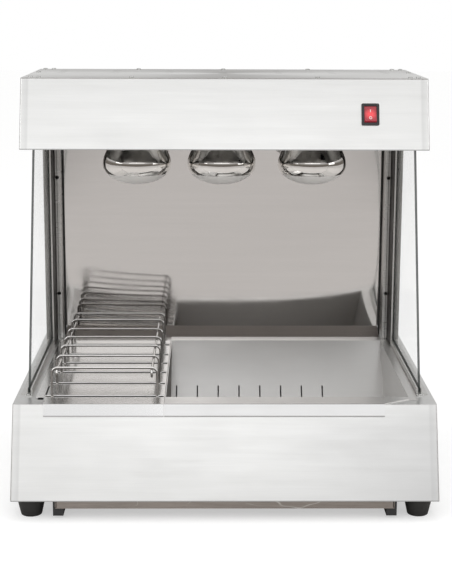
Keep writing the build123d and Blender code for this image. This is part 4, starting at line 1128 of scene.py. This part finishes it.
# Welds of the bag rack, where the rods pass under the arches and where the legs stand on the tray
def half_ring_bead():
    """The bead around the foot of a leg: the upper half of a ring."""
    bpy.ops.mesh.primitive_torus_add(
        major_segments=20, minor_segments=8, major_radius=0.0021, minor_radius=0.0008
    )
    bead = bpy.context.object
    at_origin(bead)
    bpy.ops.object.mode_set(mode="EDIT")
    bpy.ops.mesh.select_all(action="SELECT")
    just_below = (0.0, 0.0, -0.0001)
    bpy.ops.mesh.bisect(plane_co=just_below, plane_no=UP, clear_inner=True, use_fill=True)
    leave()
    return bead


def rod_bead():
    """The small rounded bead beside a crossing of rod and arch."""
    bpy.ops.mesh.primitive_uv_sphere_add(segments=16, ring_count=10, radius=0.0014)
    bead = bpy.context.object
    bead.scale = (1.25, 1.0, 0.8)
    at_origin(bead)
    return bead


def rack_welds():
    """All welds of the rack as one piece."""
    wire_radius = 0.002
    beside_rod = 0.0012
    crossing_drop = 0.0041
    arches = [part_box(f"rack_arch_{number}") for number in range(1, 8)]
    rods = [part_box(f"rack_rod_{side}") for side in ("left", "right")]
    feet = []
    crossings = []
    for low, high in arches:
        y = (low[1] + high[1]) / 2
        for x in (low[0] + wire_radius, high[0] - wire_radius):
            feet.append(Matrix.Translation((x, y, low[2])))
        for rod_low, rod_high in rods:
            x = (rod_low[0] + rod_high[0]) / 2
            for side in (-1.0, 1.0):
                crossings.append(Matrix.Translation((x + side * beside_rod, y, high[2] - crossing_drop)))
    deselect()
    foot_beads = copies(half_ring_bead(), feet, "foot beads")
    deselect()
    rod_beads = copies(rod_bead(), crossings, "rod beads")
    beads = joined([foot_beads, rod_beads], "rack_welds")
    smooth(beads, 50.0)
    dress(beads, "bright_wire", "bag_rack")


# Rear edges of the treads, front to back, on the part's own Y axis
TREAD_EDGES = (-0.1860, -0.1040, -0.0300, 0.0360, 0.1000, 0.1780)


def tread_hems():
    """The rolled hem along the rear edge of each tread, above a dark strip that is a painted shadow of the
    gap under it.
    """
    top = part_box("rack_tray")[1][2]
    left = -0.3005
    right = -0.1022
    hem_half = 0.0015
    hem_foot = top + 0.0010
    hem_rise = 0.0012
    shadow_half = 0.0012
    shadow_low = top - 0.0001
    shadow_inset = 0.0005
    turns = [math.pi * step / 8 for step in range(9)]
    hems = []
    shadow_strips = []
    for edge in TREAD_EDGES:
        middle = edge - hem_half
        front = middle - shadow_half
        rear = middle + shadow_half
        crown = [(middle + hem_half * math.cos(turn), hem_foot + hem_rise * math.sin(turn)) for turn in turns]
        # Painted shadow: a dark strip below each hem, standing in for the shade in the gap beneath it.
        shadow_strip = [(front, shadow_low), (rear, shadow_low), (rear, hem_foot), (front, hem_foot)]
        hems.append(laid_bar("hem", crown, left, right, 0.00005))
        shadow_strips.append(laid_bar("shadow_strip", shadow_strip, left + shadow_inset, right - shadow_inset, 0.0001))
    for pieces, name, finish in ((hems, "tread_hems", "satin_steel"), (shadow_strips, "tread_shadow_strips", "dark_trim")):
        piece = joined(pieces, name)
        smooth(piece, 40.0)
        dress(piece, finish, "bag_rack")


rocker_marks()
rack_welds()
tread_hems()

# The loose inserts and the crumb tray, each with its own finish: painted shade on the pan and on the lips of
# pan and tray, and a darker, browner crumb tray with more dust and scratches.
for node, finish in (("crumb_tray", "used_steel"), ("rack_tray", "tray_steel"), ("chip_pan", "pan_steel")):
    nodes[node].data.materials[0] = FINISHES[finish]


# Floor, backdrop and light: name, place, aim, width, height and power of each soft box
SOFT_BOXES = (
    ("front box", (0.0, -3.0, 1.95), (0.0, 0.0, 0.35), 3.4, 1.5, 8.5),
    ("strip box", (-0.08, -2.95, 1.9), (-0.05, 0.0, 0.35), 0.10, 1.3, 0.35),
    ("left box", (-2.6, -1.3, 1.7), (0.0, 0.0, 0.35), 1.4, 1.6, 12.0),
    ("right box", (2.6, -1.0, 1.5), (0.0, 0.0, 0.35), 1.2, 1.6, 9.0),
    ("top box", (0.0, 0.2, 3.0), (0.0, 0.1, 0.0), 2.4, 2.0, 14.0),
)


def make_floor():
    """A pale floor, white to the camera but for a soft shadow, and warmer where it is mirrored."""
    mirrored = (0.68, 0.655, 0.64)
    seen_paint = (0.60, 0.60, 0.597)
    deselect()
    bpy.ops.mesh.primitive_plane_add(size=24.0, location=(0.0, 2.0, 0.0))
    floor = bpy.context.object
    floor.name = "floor"
    material, tree, shader, place = new_finish("pale floor", Roughness=0.7, Specular_IOR_Level=0.15)
    rays = put(tree, "ShaderNodeLightPath").outputs
    seen = rays["Is Camera Ray"]
    mottled = noise(tree, place, 3.0, 4.0)
    paint = mixed(tree, mottled, (0.93, 0.93, 0.925), (0.955, 0.955, 0.95))
    paint = mixed(tree, seen, paint, seen_paint)
    feed(shader, "Base Color", mixed(tree, rays["Is Glossy Ray"], paint, mirrored))
    glow = put(tree, "ShaderNodeEmission", {"Color": (1.0, 1.0, 1.0, 1.0)})
    tree.links.new(product(tree, seen, 0.5), glow.inputs["Strength"])
    both = put(tree, "ShaderNodeAddShader", {0: shader.outputs[0], 1: glow.outputs[0]})
    tree.links.new(both.outputs[0], tree.nodes["Material Output"].inputs["Surface"])
    floor.data.materials.append(material)


def make_surround():
    """White where the camera sees it; to reflections a dim room below and a bright one above."""
    dim = (0.155, 0.138, 0.122)
    bright = (0.82, 0.82, 0.82)
    white = (1.0, 1.0, 1.0)
    world = bpy.data.worlds.new("white surround")
    scene.world = world
    world.use_nodes = True
    sky = world.node_tree
    rays = put(sky, "ShaderNodeLightPath").outputs
    shown = sum_up(sky, "MAXIMUM", rays["Is Camera Ray"], rays["Is Transmission Ray"])
    direction = put(sky, "ShaderNodeTexCoord").outputs["Generated"]
    height = between(sky, axes_of(sky, direction)[2], 0.09, 0.29)
    room = mixed(sky, height, dim, bright)
    sky.links.new(mixed(sky, shown, room, white), sky.nodes["Background"].inputs["Color"])


def make_soft_boxes():
    """The area lights, each turned to its aim."""
    for name, place, aim, width, height, power in SOFT_BOXES:
        lamp = bpy.data.lights.new(name, "AREA")
        lamp.shape = "RECTANGLE"
        lamp.size = width
        lamp.size_y = height
        lamp.energy = power
        holder = bpy.data.objects.new(name, lamp)
        scene.collection.objects.link(holder)
        holder.location = place
        holder.rotation_euler = (Vector(aim) - Vector(place)).to_track_quat("-Z", "Y").to_euler()


make_floor()
make_surround()
make_soft_boxes()

# Camera, as the photograph was taken: focal length and height in pixels, turns in degrees
PHOTO_FOCAL = 1443.0
PHOTO_HEIGHT = 584.0
SENSOR = 36.0
LOOK_DOWN = 11.623
LOOK_ASIDE = -0.700
ROLL = 0.204

camera = bpy.data.objects.new("camera", bpy.data.cameras.new("camera"))
scene.collection.objects.link(camera)
camera.data.sensor_width = SENSOR
camera.data.lens = PHOTO_FOCAL * SENSOR / PHOTO_HEIGHT
camera.data.clip_end = 60.0
stand = Matrix.Translation((-0.02711, -2.52326, 0.83958))
aside = Matrix.Rotation(math.radians(LOOK_ASIDE), 4, "Z")
down = Matrix.Rotation(math.radians(90.0 - LOOK_DOWN), 4, "X")
roll = Matrix.Rotation(math.radians(ROLL), 4, "Z")
camera.matrix_world = stand @ aside @ down @ roll
scene.camera = camera
scene.view_settings.view_transform = "Standard"
